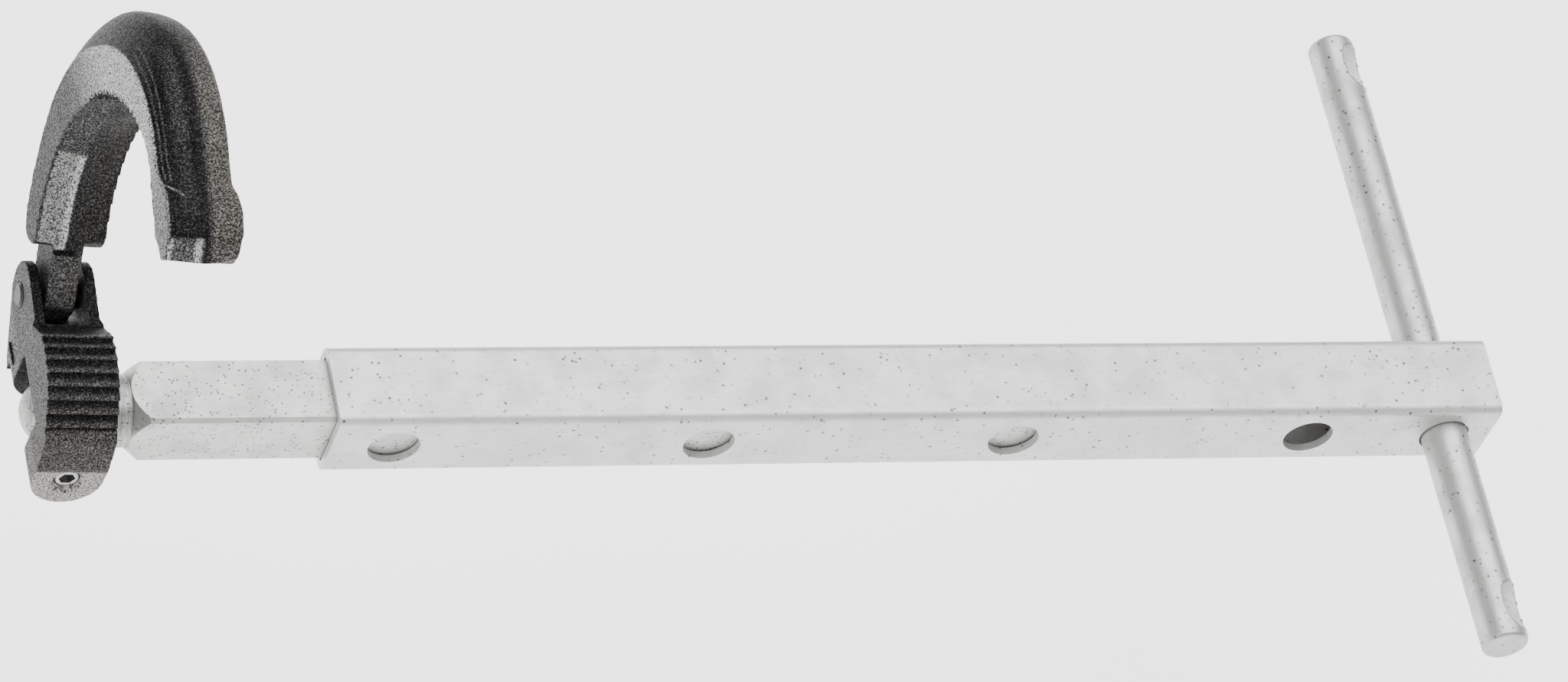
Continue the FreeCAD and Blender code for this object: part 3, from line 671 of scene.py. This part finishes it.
@dataclass(frozen=True)
class HookTones:
    """The greys of the hook, and where each starts and ends in millimetres of its own frame."""

    side_edge: Span = (0.25, 0.5)
    side_least: float = 0.004
    side_low: float = 0.052
    side_rise: float = 0.34
    side_heights: Span = (40.0, 62.0)
    side_toe: Span = (14.0, 30.0)
    toe_loss: float = 0.68
    leg_skin: float = 1.8
    leg_foot: float = 13.0
    leg_toe: float = -36.0
    facet_blur: float = 0.15
    worn_heights: Span = (31.5, 30.9)
    rubbed_band: Span = (1.3, 1.0)
    leg_low: float = 0.060
    leg_worn: float = 0.19
    leg_rubbed: float = 0.30
    leg_far: float = 0.026
    land: float = 0.040
    land_heights: Span = (44.0, 52.0)
    tang: float = 0.030
    tang_top: float = 12.0
    tang_front: float = 0.05
    tang_facing: Span = (0.3, 0.8)
    end_facing: Span = (0.55, 0.8)
    end_toe: Span = (37.0, 38.0)
    end_low: float = 0.085
    end_edge: float = 0.50
    end_edges: tuple[Span, ...] = ((-6.9, 0.7), (-1.4, 0.9))
    end_across: Span = (-0.6, 0.2)
    scratch: tuple[float, float, float] = (26.4, 0.9, 0.35)
    scratch_grey: float = 0.22
    scratch_across: Span = (3.6, 4.0)
    scratch_heights: Span = (70.0, 72.0)
    flash_lines: tuple[Span, ...] = ((-6.35, 0.2), (-5.45, 0.2))
    flash_grey: float = 0.055
    flash_heights: Span = (70.0, 73.0)
    flash_toe: Span = (25.0, 27.0)
    crown: float = 0.001
    band: float = 0.030
    band_across: tuple[Span, Span] = ((-5.0, -3.4), (-2.4, -0.9))
    band_heights: Span = (74.0, 79.0)
    flank: float = 0.075
    flank_edge: Span = (0.4, 2.4)
    flank_toe: Span = (-14.0, 8.0)
    far_side: float = 0.05
    far_facing: Span = (0.7, 0.95)
    brown: float = 0.8
    brown_least: float = 0.1


@dataclass
class HookJaw(Forging):
    """The toothed hook, swept across its thickness: a flat side, a crowned back and a ridged leg.

    Sizes are in millimetres in the hook's own frame, whose origin is on the jaw pin.
    """

    voxel_mm: float = 0.30
    near: float = -7.5
    ridge: float = -0.4
    far: float = 6.5
    layers: int = 40
    inside_centre: tuple[float, float] = (-22.0, 37.3)
    inside_radius: float = 34.0
    inside_ridge: float = 1.1
    inside_ridge_place: float = -1.6
    inside_ridge_end: Span = (10.0, 20.0)
    leg_angle: float = -43.0
    tooth_start: float = 19.0
    tooth_end: float = 80.0
    teeth: int = 20
    tooth_depth: float = 1.45
    tooth_spread: float = 0.22
    tooth_fade: float = 0.45
    tooth_fade_in: Span = (0.0, 0.14)
    tooth_fade_out: Span = (0.62, 0.95)
    back_centre: tuple[float, float] = (-14.3, 39.6)
    back_lean: tuple[float, float] = (4.2, 0.8)
    lean_loss: float = 0.25
    back_near: float = 35.0
    back_ridge: float = 38.6
    back_far: float = 35.4
    far_squareness: int = 4
    back_ends: Span = (104.0, -12.0)
    keen_angles: Span = (70.0, 100.0)
    heel_swell: float = 1.2
    heel_angles: Span = (8.0, 34.0)
    heel: Outline = field(
        default_factory=lambda: [
            (18.9, 25.4), (15.3, 18.3), (11.6, 12.9), (8.2, 10.0), (5.4, 10.3), (3.2, 12.0)
        ]
    )
    tip_near: Outline = field(
        default_factory=lambda: [(-25.6, 74.4), (-29.6, 76.3), (-33.6, 75.6), (-37.3, 74.1), (-39.9, 70.4)]
    )
    tip_ridge: Outline = field(
        default_factory=lambda: [(-26.6, 76.9), (-30.3, 76.2), (-33.8, 75.4), (-37.1, 74.2), (-40.3, 70.3)]
    )
    tip_far: Outline = field(
        default_factory=lambda: [(-25.9, 74.9), (-29.4, 76.8), (-33.2, 77.6), (-37.0, 76.0), (-39.4, 71.8)]
    )
    tip_inside: Outline = field(
        default_factory=lambda: [(-38.9, 68.7), (-33.7, 67.8), (-29.2, 68.9), (-24.3, 69.9), (-19.8, 71.0)]
    )
    tang: Outline = field(
        default_factory=lambda: [
            (5.5, 3.2), (12.6, 11.0), (13.6, 15.0), (4.4, 17.0), (1.2, 12.4), (-5.5, 4.0)
        ]
    )
    tang_faces: tuple[float, float] = (-3.6, 2.4)
    eye_radius: float = 5.5
    eye_hole: float = 2.1
    eye_step: int = 9
    eye_neck: tuple[float, float] = (0.0, 8.0)
    back_cuts: int = 150
    inside_cuts: int = 480
    run_cuts: int = 8
    tip_cuts: int = 7
    scallop_depth: float = 0.42
    tones: HookTones = HookTones()

    def lift(self, place: float) -> float:
        """How far up its crown the back is, from 0 at the near edge to 1 at the ridge."""
        return min(1.0, (place - self.near) / (self.ridge - self.near))

    def fall(self, place: float) -> float:
        """How far down to the far edge the back is, from 0 at the ridge to 1."""
        return max(0.0, (place - self.ridge) / (self.far - self.ridge))

    def back_point(self, place: float, degrees: float) -> tuple[float, float]:
        """A point of the crowned back.

        Args:
            place: how far across the thickness it is.
            degrees: its angle about the back's centre.

        Returns:
            The point in the hook's plane.
        """
        lift, fall = self.lift(place), self.fall(place)
        keen = step(degrees, *self.keen_angles)
        rise = (1.0 - keen) * math.sin(math.pi / 2 * lift) + keen * lift
        near = self.back_near + self.heel_swell * (1.0 - step(degrees, *self.heel_angles))
        radius = near + (self.back_ridge - near) * rise
        if fall > 0:
            drop = (1.0 - fall**self.far_squareness) ** (1.0 / self.far_squareness)
            radius = self.back_far + (self.back_ridge - self.back_far) * drop
        lean = math.sin(math.pi / 2 * lift) * (1.0 - self.lean_loss * fall * fall)
        centre = tuple(c + lean * offset for c, offset in zip(self.back_centre, self.back_lean))
        return ring(centre, radius, degrees)

    def tooth(self, degrees: float) -> float:
        """The depth of the toothed inside: short steep teeth, then long shallow ones.

        Args:
            degrees: the angle about the inside's centre.

        Returns:
            The depth in millimetres.
        """
        share = (degrees - self.tooth_start) / (self.tooth_end - self.tooth_start)
        if not 0.0 < share < 1.0:
            return 0.0
        phase = self.teeth * (share - self.tooth_spread * share * share) / (1.0 - self.tooth_spread)
        saw = 1.0 - (phase % 1.0)
        fade = 1.0 - self.tooth_fade * step(share, *self.tooth_fade_out)
        return self.tooth_depth * (step(share, *self.tooth_fade_in) * fade) * saw

    def inside_point(self, place: float, degrees: float) -> tuple[float, float]:
        """A point of the inside, with its middle ridge on the leg and its teeth above.

        Args:
            place: how far across the thickness it is.
            degrees: its angle about the inside's centre.

        Returns:
            The point in the hook's plane.
        """
        half = self.far - self.inside_ridge_place
        if place < self.inside_ridge_place:
            half = self.inside_ridge_place - self.near
        height = self.inside_ridge * (1.0 - abs(place - self.inside_ridge_place) / half)
        height *= 1.0 - step(degrees, *self.inside_ridge_end)
        return ring(self.inside_centre, self.inside_radius - height + self.tooth(degrees), degrees)

    def scallop(self, point: tuple[float, float], index: int) -> tuple[float, float]:
        """A point of the tip's inside, moved out and in by shallow worn teeth."""
        share = (index % self.tip_cuts) / (self.tip_cuts - 1.0)
        return point[0], point[1] + self.scallop_depth * (1.0 - share)

    def outline(self, place: float) -> Outline:
        """The hook's whole outline at a place across its thickness.

        Args:
            place: how far across the thickness it is.

        Returns:
            The outline, with the same number of points at every place.
        """
        lift, fall = self.lift(place), self.fall(place)
        tip = blended(self.tip_near, self.tip_ridge, lift)
        tip = blended(tip, self.tip_far, fall * fall)
        start, end = self.back_ends
        count = self.back_cuts
        back = [self.back_point(place, start + (end - start) * i / count) for i in range(count + 1)]
        inside_start = self.inside_point(place, self.leg_angle)
        heel = walked([back[-1], *self.heel, inside_start], self.run_cuts)[1:]
        turns = self.tooth_end - self.leg_angle
        count = self.inside_cuts
        inside = [self.inside_point(place, self.leg_angle + turns * i / count) for i in range(count + 1)]
        under = walked([inside[-1], *reversed(self.tip_inside)], self.tip_cuts)[1:]
        under = [self.scallop(point, index) for index, point in enumerate(under)]
        nose = walked([self.tip_inside[0], *reversed(tip), back[0]], self.run_cuts)
        return back + heel + inside + under + nose

    def eye_halves(self) -> list[Outline]:
        """The tang and its eye as two outlines that meet over the pin's hole.

        Returns:
            The half away from the toe, then the half towards it.
        """
        turn = self.eye_step
        quarter, half = range(90 // turn + 1), range(180 // turn + 1)
        right = [ring((0, 0), self.eye_radius, -90 + turn * i) for i in quarter]
        left = [ring((0, 0), self.eye_radius, 180 + turn * i) for i in quarter]
        hole_right = [ring((0, 0), self.eye_hole, 90 - turn * i) for i in half]
        hole_left = [ring((0, 0), self.eye_hole, 270 - turn * i) for i in half]
        top, middle = self.tang[3], self.eye_neck
        return [
            right + self.tang[:3] + [top, middle] + hole_right,
            hole_left + [middle, top, *self.tang[4:]] + left,
        ]

    def solid(self) -> bpy.types.Object:
        """Sweeps the outline across the thickness, adds the tang and joins them by remeshing.

        Returns:
            The hook, not yet dressed.
        """
        form = bmesh.new()
        span = self.far - self.near
        places = [self.near + span * i / self.layers for i in range(self.layers + 1)]
        self.prism(form, [[self.axes.placed(place, *p) for p in self.outline(place)] for place in places])
        for half in self.eye_halves():
            self.prism(form, [[self.axes.placed(place, *p) for p in half] for place in self.tang_faces])
        return self.cast(form, "hook_rough")

    def side_tone(self, place: Vector, share: float) -> float:
        """The grey of the near side, palest high up and darker towards the toe.

        Args:
            place: the point in the hook's frame, in millimetres.
            share: how fully the point lies on the side, from 0 to 1.

        Returns:
            The grey.
        """
        tones = self.tones
        high = step(place.z, *tones.side_heights)
        toe = step(-place.y, *tones.side_toe)
        pale = tones.side_low + tones.side_rise * high * (1.0 - tones.toe_loss * toe)
        return tones.side_least + share * pale

    def leg_tone(self, place: Vector) -> float:
        """The grey of the inside: a facet worn bright on the leg, dark behind it and above.

        Args:
            place: the point in the hook's frame, in millimetres.

        Returns:
            The grey.
        """
        tones, middle = self.tones, self.inside_ridge_place
        near_facet = 1.0 - step(place.x, middle - tones.facet_blur, middle + tones.facet_blur)
        worn = step(place.z, *tones.worn_heights)
        rubbed = step(place.x, middle - tones.rubbed_band[0], middle - tones.rubbed_band[1]) * worn
        leg = near_facet * (tones.leg_low + tones.leg_worn * worn + tones.leg_rubbed * rubbed)
        leg += (1.0 - near_facet) * tones.leg_far
        land = step(place.z, *tones.land_heights)
        return leg * (1.0 - land) + tones.land * land

    def nose_tone(self, place: Vector, normal: Vector) -> float:
        """The grey of the tip: a rubbed end facet, one scratch and two fine lines of flash.

        Args:
            place: the point in the hook's frame, in millimetres.
            normal: the surface's direction there, in the same frame.

        Returns:
            The grey, which is 0 away from the tip.
        """
        tones = self.tones
        end = step(-normal.y, *tones.end_facing) * step(-place.y, *tones.end_toe)
        edge = max(streak(place.x, *line) for line in tones.end_edges)
        nose = end * (tones.end_low + tones.end_edge * edge) * (1.0 - step(place.x, *tones.end_across))
        start, slope, half = tones.scratch
        scratch = max(0.0, 1.0 - abs(place.y + start + slope * (place.x - self.near)) / half)
        scratch *= step(-place.x, *tones.scratch_across)
        flash = max(streak(place.x, *line) for line in tones.flash_lines)
        flash *= step(place.z, *tones.flash_heights) * (1.0 - step(-place.y, *tones.flash_toe))
        scratched = tones.scratch_grey * scratch * step(place.z, *tones.scratch_heights)
        return max(nose, scratched, tones.flash_grey * flash)

    def crown_tone(self, place: Vector) -> float:
        """The grey of the back: almost black, with a speckled band and a lighter far flank.

        Args:
            place: the point in the hook's frame, in millimetres.

        Returns:
            The grey.
        """
        tones = self.tones
        rise, fall = tones.band_across
        band = step(place.x, *rise) * (1.0 - step(place.x, *fall))
        crown = tones.crown + tones.band * band * step(place.z, *tones.band_heights)
        return crown + self.flank(place) * tones.flank * step(-place.y, *tones.flank_toe)

    def tone(self, place: Vector, normal: Vector) -> float:
        """The grey at a point: pale near side, black crown, brown far flank, bright worn leg.

        Args:
            place: the point in the hook's frame, in millimetres.
            normal: the surface's direction there, in the same frame.

        Returns:
            The grey.
        """
        tones = self.tones
        side = 1.0 - step(place.x, self.near + tones.side_edge[0], self.near + tones.side_edge[1])
        if side > 0.0:
            return self.side_tone(place, side)
        depth = math.hypot(place.y - self.inside_centre[0], place.z - self.inside_centre[1])
        inside = depth < self.inside_radius + tones.leg_skin
        if inside and place.z > tones.leg_foot and place.y > tones.leg_toe:
            return self.leg_tone(place)
        if place.z < tones.tang_top:
            return tones.tang + tones.tang_front * step(-normal.y, *tones.tang_facing)
        far = tones.far_side * step(normal.x, *tones.far_facing)
        return max(self.crown_tone(place), self.nose_tone(place, normal), far)

    def flank(self, place: Vector) -> float:
        """How far onto the back's far flank a point is, from 0 to 1."""
        return step(place.x, self.ridge + self.tones.flank_edge[0], self.ridge + self.tones.flank_edge[1])

    def warmth(self, place: Vector, normal: Vector) -> float:
        """Brown on the back's far flank, plain elsewhere."""
        return self.flank(place) * self.tones.brown + self.tones.brown_least


@dataclass(frozen=True)
class HeadTones:
    """The greys of the head, and where each starts and ends in millimetres of its own frame."""

    least: float = 0.003
    lug_top: Span = (3.3, 3.9)
    lug_front: Span = (6.0, 8.0)
    lug_facing: Span = (0.0, 0.4)
    lug_grey: float = 0.12
    lug_painted_light: float = 0.22
    lug_painted_light_facing: Span = (-0.6, -0.1)
    side_grey: float = 0.052
    side_low: float = 0.05
    side_facing: Span = (0.7, 0.92)
    rib_centre: tuple[float, float] = (0.3, 5.2)
    rib_heights: Span = (14.35, 14.95)
    rib_facing: Span = (0.6, 0.9)
    rib_front: Span = (-9.0, -8.0)
    crest: float = 0.055
    brown: float = 0.55
    brown_front: Span = (6.0, 12.0)
    brown_least: float = 0.15


@dataclass
class SwivelHead(Forging):
    """The forged head: a grey front lug with painted light on its faces that don't face down, dark cheeks
    and a ribbed jaw face with rubbed crests.
    """

    voxel_mm: float = 0.22
    sand_depth_mm: float = 0.03
    pivot: tuple[float, float] = (20.3, 9.2)
    saddle_radius: float = 6.0
    saddle_half_width: float = 5.0
    saddle_start: int = -148
    saddle_step: int = 5
    saddle_points: int = 9
    saddle_front: Outline = field(
        default_factory=lambda: [(18.3, 2.6), (13.2, 1.0), (9.0, 2.0), (9.0, 6.0)]
    )
    cheek: Outline = field(
        default_factory=lambda: [
            (13.2, -5.6), (15.2, -4.6), (22.2, 2.6), (25.4, 7.4), (14.0, 7.4), (13.2, 0.0)
        ]
    )
    cheek_faces: tuple[float, float] = (4.45, 6.35)
    tones: HeadTones = HeadTones()

    def saddle(self) -> Outline:
        """The seat under the tang's eye, hollowed about the jaw pin."""
        turns = [self.saddle_start + self.saddle_step * i for i in range(self.saddle_points)]
        return [ring(self.pivot, self.saddle_radius, turn) for turn in turns] + self.saddle_front

    def solid(self) -> bpy.types.Object:
        """Makes the CAD solid with the seat and the filled cheeks added, as one fine mesh.

        Returns:
            The head, not yet dressed.
        """
        form = bmesh.new()
        form.from_mesh(frame["nodes"][self.node].data)
        seat = self.saddle()
        ends = (-self.saddle_half_width, self.saddle_half_width)
        self.prism(form, [[self.axes.placed(place, *point) for point in seat] for place in ends])
        for side in (-1, 1):
            faces = [side * face for face in self.cheek_faces]
            self.prism(form, [[self.axes.placed(face, *point) for point in self.cheek] for face in faces])
        return self.cast(form, "head_rough")

    def tone(self, place: Vector, normal: Vector) -> float:
        """Grey on the lug, with painted light on its faces that don't face down, and on the near side;
        dark among the ribs, almost black in the fork.

        Args:
            place: the point in the head's frame, in millimetres.
            normal: the surface's direction there, in the same frame.

        Returns:
            The grey.
        """
        tones = self.tones
        below = 1.0 - step(place.z, *tones.lug_top)
        # Painted light: the lug's faces that don't face down are lightened, as if lit from above.
        front = step(normal.z, *tones.lug_painted_light_facing) * tones.lug_painted_light + tones.lug_grey
        lug = below * step(-place.y, *tones.lug_front) * step(-normal.y, *tones.lug_facing) * front
        side = step(-normal.x, *tones.side_facing) * (tones.side_grey + tones.side_low * below)
        away = math.hypot(place.y - tones.rib_centre[0], place.z - tones.rib_centre[1])
        ribbed = (1.0 - below) * (1.0 - step(abs(normal.x), *tones.rib_facing))
        ribbed *= step(-place.y, *tones.rib_front)
        crest = ribbed * step(away, *tones.rib_heights) * tones.crest
        return max(lug, side, crest, tones.least)

    def warmth(self, place: Vector, normal: Vector) -> float:
        """A little brown on the lug, none among the ribs."""
        return self.tones.brown * step(-place.y, *self.tones.brown_front) + self.tones.brown_least


@dataclass
class CarriedPiece:
    """A CAD node that keeps its own shape and takes a better finish."""

    node: str
    slot: str

    def build(self, material: bpy.types.Material) -> bpy.types.Object:
        """Dresses the node.

        Args:
            material: its finish.

        Returns:
            The node's object.
        """
        piece = frame["nodes"][self.node]
        piece.data.materials.clear()
        piece.data.materials.append(material)
        log.info("%s: dressed as %s", self.node, material.name)
        return piece


@dataclass
class CrossHandle:
    """The sliding T-bar: a round rod with rounded ends and a pressed flat near each end."""

    node: str = "cross_handle"
    around: int = 96
    pitch_mm: float = 0.4
    end_round_mm: float = 0.9
    end_rings: int = 8
    flat_facing: float = 50.0
    flat_from_end_mm: float = 7.6
    flat_half_mm: float = 5.2
    flat_depth_mm: float = 1.35
    flat_press: float = 0.94
    lip_mm: float = 0.22
    lip_width_mm: float = 0.7
    lip_reach: float = 1.25

    def radius(self, away: float, full: float) -> float:
        """The rod's radius near an end, where it is rounded off.

        Args:
            away: the distance from the rod's nearer end, in millimetres.
            full: the radius of the plain rod.

        Returns:
            The radius in millimetres.
        """
        if away >= self.end_round_mm:
            return full
        drop = 1.0 - away / self.end_round_mm
        return full - self.end_round_mm * (1.0 - math.sqrt(max(0.0, 1.0 - drop * drop)))

    def pressed(self, away: float, out: float, full: float) -> float:
        """How far a point is pressed in towards the axis, along the flat's facing.

        Args:
            away: its distance from the rod's nearer end, in millimetres.
            out: its distance from the axis along the flat's facing.
            full: the rod's radius.

        Returns:
            The change in millimetres, which is positive on the lip round the flat.
        """
        share = abs(away - self.flat_from_end_mm) / self.flat_half_mm
        if share >= self.lip_reach:
            return 0.0
        limit = full - self.flat_depth_mm * math.sqrt(max(0.0, 1.0 - share * share))
        if out > limit and share < 1.0:
            return (limit - out) * self.flat_press
        near = max(0.0, 1.0 - abs(out - limit) / self.lip_width_mm)
        return self.lip_mm * near * near * (1.0 - step(share, 1.0, self.lip_reach))

    def places(self, length: float) -> list[float]:
        """Where the rod's rings of points stand, closer together at its ends.

        Args:
            length: the rod's length in millimetres.

        Returns:
            Their distances from its first end, in order.
        """
        rows = round(length / self.pitch_mm)
        plain = length - 2 * self.end_round_mm
        ends = [self.end_round_mm * i / self.end_rings for i in range(self.end_rings)]
        body = [self.end_round_mm + plain * i / rows for i in range(rows + 1)]
        return ends + body + [length - away for away in reversed(ends)]

    def points(self, away: float, full: float) -> list[Vector]:
        """One ring of points round the rod's axis.

        Args:
            away: the ring's distance from the rod's nearer end, in millimetres.
            full: the radius of the plain rod.

        Returns:
            The points in millimetres, with the ring's middle as their origin.
        """
        turn = math.radians(self.flat_facing)
        facing = Vector((math.cos(turn), 0.0, math.sin(turn)))
        radius = self.radius(away, full)
        found = []
        for index in range(self.around):
            angle = 2 * math.pi * index / self.around
            point = Vector((radius * math.cos(angle), 0.0, radius * math.sin(angle)))
            found.append(point + facing * self.pressed(away, point.dot(facing), full))
        return found

    def rod(self) -> bpy.types.Object:
        """Makes the rod where the CAD rod is.

        Returns:
            The rod, not yet dressed.
        """
        low, high = (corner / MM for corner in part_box(self.node))
        middle, full = (low + high) / 2, (high.x - low.x) / 2
        length = high.y - low.y
        form = bmesh.new()
        loops = []
        for place in self.places(length):
            centre = Vector((middle.x, low.y + place, middle.z))
            ring_points = self.points(min(place, length - place), full)
            loops.append([form.verts.new((point + centre) * MM) for point in ring_points])
        for first, second in zip(loops, loops[1:]):
            for index in range(self.around):
                after = (index + 1) % self.around
                form.faces.new((first[index], second[index], second[after], first[after]))
        form.faces.new(loops[0])
        form.faces.new(list(reversed(loops[-1])))
        bmesh.ops.recalc_face_normals(form, faces=form.faces)
        return linked(form, "cross_handle_rod", "cross_handle_rod")

    def build(self, material: bpy.types.Material) -> bpy.types.Object:
        """Makes the rod, dresses it and puts it on its body.

        Args:
            material: its finish.

        Returns:
            The finished piece.
        """
        piece = self.rod()
        piece.data.shade_smooth()
        piece.data.materials.append(material)
        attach(piece, "handle")
        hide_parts(self.node)
        log.info("%s: %d faces", piece.name, len(piece.data.polygons))
        return piece


@dataclass(frozen=True)
class Softbox:
    """A square soft light: where it stands, in metres, its side, its power and where it faces."""

    name: str
    place: Place
    size: float
    power: float
    target: Place = (-0.11, 0.0, 0.0)

    def build(self) -> None:
        """Makes the light and turns it to its target."""
        lamp = bpy.data.lights.new(self.name, "AREA")
        lamp.shape = "SQUARE"
        lamp.size = self.size
        lamp.energy = self.power
        place = Vector(self.place)
        holder = bpy.data.objects.new(self.name, lamp)
        holder.location = place
        holder.rotation_euler = (Vector(self.target) - place).to_track_quat("-Z", "Y").to_euler()
        bpy.context.scene.collection.objects.link(holder)


@dataclass
class Studio:
    """The pale floor, the soft lights and the camera."""

    floor_drop: float = 0.100
    floor_size: float = 8.0
    floor_tone: Colour = (0.97, 0.97, 0.97)
    floor_lighter: float = 1.02
    floor_cloud_mm: float = 900.0
    floor_roughness: Span = (-8.0, 2.0)
    floor_glow: float = 1.4
    camera_azimuth: float = -33.966
    camera_elevation: float = 51.433
    camera_roll: float = 27.422
    camera_distance: float = 1.385438
    camera_lens: float = 156.91
    camera_sensor: float = 36.0
    camera_clip: Span = (0.05, 50.0)
    aim_right: float = -0.10405
    aim_up: float = 0.011876
    sky: float = 0.50
    softboxes: tuple[Softbox, ...] = (
        Softbox("top_softbox", (0.10, 0.45, 1.6), 2.0, 62.0),
        Softbox("front_softbox", (0.15, -1.15, 0.45), 0.7, 2.0),
        Softbox("left_softbox", (-1.25, -0.35, 0.75), 0.5, 6.0, (-0.25, 0.0, 0.04)),
    )

    def floor(self) -> bpy.types.Object:
        """Makes a plain pale floor that glows a little, under the lowest point the hook swings to.

        Returns:
            The floor.
        """
        graph = Graph("floor_paper")
        shade = graph.grain(self.floor_cloud_mm, 2.0)
        lighter = tuple(self.floor_lighter * c for c in self.floor_tone)
        colour = graph.ramp(shade, [(0.0, self.floor_tone), (1.0, lighter)])
        graph.finish(colour, graph.mask(shade, *self.floor_roughness), 0.0)
        graph.shader.inputs["Emission Color"].default_value = (*WHITE, 1.0)
        graph.shader.inputs["Emission Strength"].default_value = self.floor_glow
        form = bmesh.new()
        bmesh.ops.create_grid(form, x_segments=4, y_segments=4, size=self.floor_size / 2)
        floor = linked(form, "floor", "floor")
        floor.data.materials.append(graph.material)
        floor.location.z = -self.floor_drop
        return floor

    def lights(self) -> None:
        """Makes an even pale sky and the soft lights: one large above, one in front, one at the left."""
        world = bpy.data.worlds.new("pale_sky")
        world.use_nodes = True
        world.node_tree.nodes["Background"].inputs["Color"].default_value = (*WHITE, 1.0)
        world.node_tree.nodes["Background"].inputs["Strength"].default_value = self.sky
        bpy.context.scene.world = world
        for softbox in self.softboxes:
            softbox.build()

    def camera(self) -> bpy.types.Object:
        """Makes the camera, turned by its azimuth, elevation and roll about a point near the tube.

        Returns:
            The camera.
        """
        turn, tip, roll = (
            math.radians(angle)
            for angle in (self.camera_azimuth, self.camera_elevation, self.camera_roll)
        )
        back = Vector((math.sin(turn) * math.cos(tip), -math.cos(turn) * math.cos(tip), math.sin(tip)))
        level = Vector((math.cos(turn), math.sin(turn), 0.0))
        rise = back.cross(level)
        right = level * math.cos(roll) + rise * math.sin(roll)
        up = rise * math.cos(roll) - level * math.sin(roll)
        data = bpy.data.cameras.new("camera")
        data.sensor_width = self.camera_sensor
        data.lens = self.camera_lens
        data.clip_start, data.clip_end = self.camera_clip
        camera = bpy.data.objects.new("camera", data)
        camera.matrix_world = Matrix(
            (
                (right.x, up.x, back.x, 0.0),
                (right.y, up.y, back.y, 0.0),
                (right.z, up.z, back.z, 0.0),
                (0.0, 0.0, 0.0, 1.0),
            )
        )
        camera.location = back * self.camera_distance + right * self.aim_right + up * self.aim_up
        bpy.context.scene.collection.objects.link(camera)
        bpy.context.scene.camera = camera
        return camera

    def build(self) -> None:
        """Makes the floor, the lights and the camera."""
        self.floor()
        self.lights()
        self.camera()
        log.info("studio: floor %.3f m down", self.floor_drop)


def joint(name: str) -> dict:
    """The record's joint of that name."""
    return next(entry for entry in frame["joints"] if entry["name"] == name)


def plated() -> None:
    """Dresses the tube and the bar in zinc and makes the T-bar."""
    tube = ZincPlate("zinc_tube")
    bar = ZincPlate(
        "zinc_bar",
        pale=(0.60, 0.595, 0.58),
        cloud=(0.48, 0.476, 0.466),
        speck_spacing_mm=1.0,
        patch=0.40,
        turned_before=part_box("inner_bar")[0].x + TURNED_END,
    )
    rod = ZincPlate(
        "zinc_handle",
        pale=(0.52, 0.518, 0.51),
        cloud=(0.42, 0.418, 0.41),
        along=(1.0, 0.12, 1.0),
        metallic=0.8,
        patch=0.46,
    )
    CarriedPiece("outer_tube", "zinc_tube").build(tube.build())
    CarriedPiece("inner_bar", "zinc_bar").build(bar.build())
    CrossHandle().build(rod.build())


def hardware() -> None:
    """Dresses the ball, the springs, the pins and the screw."""
    ball = BrightSteel("polished_ball")
    wire = BrightSteel("spring_wire", tone=(0.30, 0.30, 0.31), stain=(0.15, 0.14, 0.13))
    pin = BrightSteel("pin_steel", tone=(0.42, 0.42, 0.42))
    screw = BrightSteel(
        "black_screw",
        tone=(0.36, 0.36, 0.36),
        stain=(0.20, 0.20, 0.20),
        roughness=(0.25, 0.45),
    )
    rivet = BrightSteel(
        "rivet_steel",
        tone=(0.035, 0.035, 0.034),
        stain=(0.010, 0.010, 0.010),
        roughness=(0.35, 0.55),
        metallic=0.5,
    )
    CarriedPiece("detent_ball", "polished_ball").build(ball.build())
    CarriedPiece("detent_spring", "spring_wire").build(wire.build())
    CarriedPiece("jaw_spring", "spring_wire").build(wire.build())
    CarriedPiece("swivel_pin", "pin_steel").build(pin.build())
    CarriedPiece("lock_screw", "black_screw").build(screw.build())
    CarriedPiece("jaw_pin", "rivet_steel").build(rivet.build())


def forgings() -> None:
    """Makes the hook and the head, each in the frame of its own joint."""
    skin = ForgedSkin("black_forging").build()
    pivot, swivel = joint("hook_pivot"), joint("head_swivel")
    hook_axes = Axes(Vector(pivot["pos_m"]), Vector(pivot["axis"]).normalized())
    HookJaw("hook_jaw", "hook", "black_forging", hook_axes).build(skin)
    lean = math.radians(HEAD_LEAN)
    head_axes = Axes(Vector(swivel["pos_m"]), Vector((math.cos(lean), 0.0, -math.sin(lean))))
    SwivelHead("swivel_head", "head", "black_forging", head_axes).build(skin)


def main() -> None:
    """Builds every piece in order."""
    logging.basicConfig(level=logging.INFO, format="%(name)s: %(message)s")
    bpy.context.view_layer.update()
    Studio().build()
    plated()
    hardware()
    forgings()


if __name__ == "__main__":
    main()
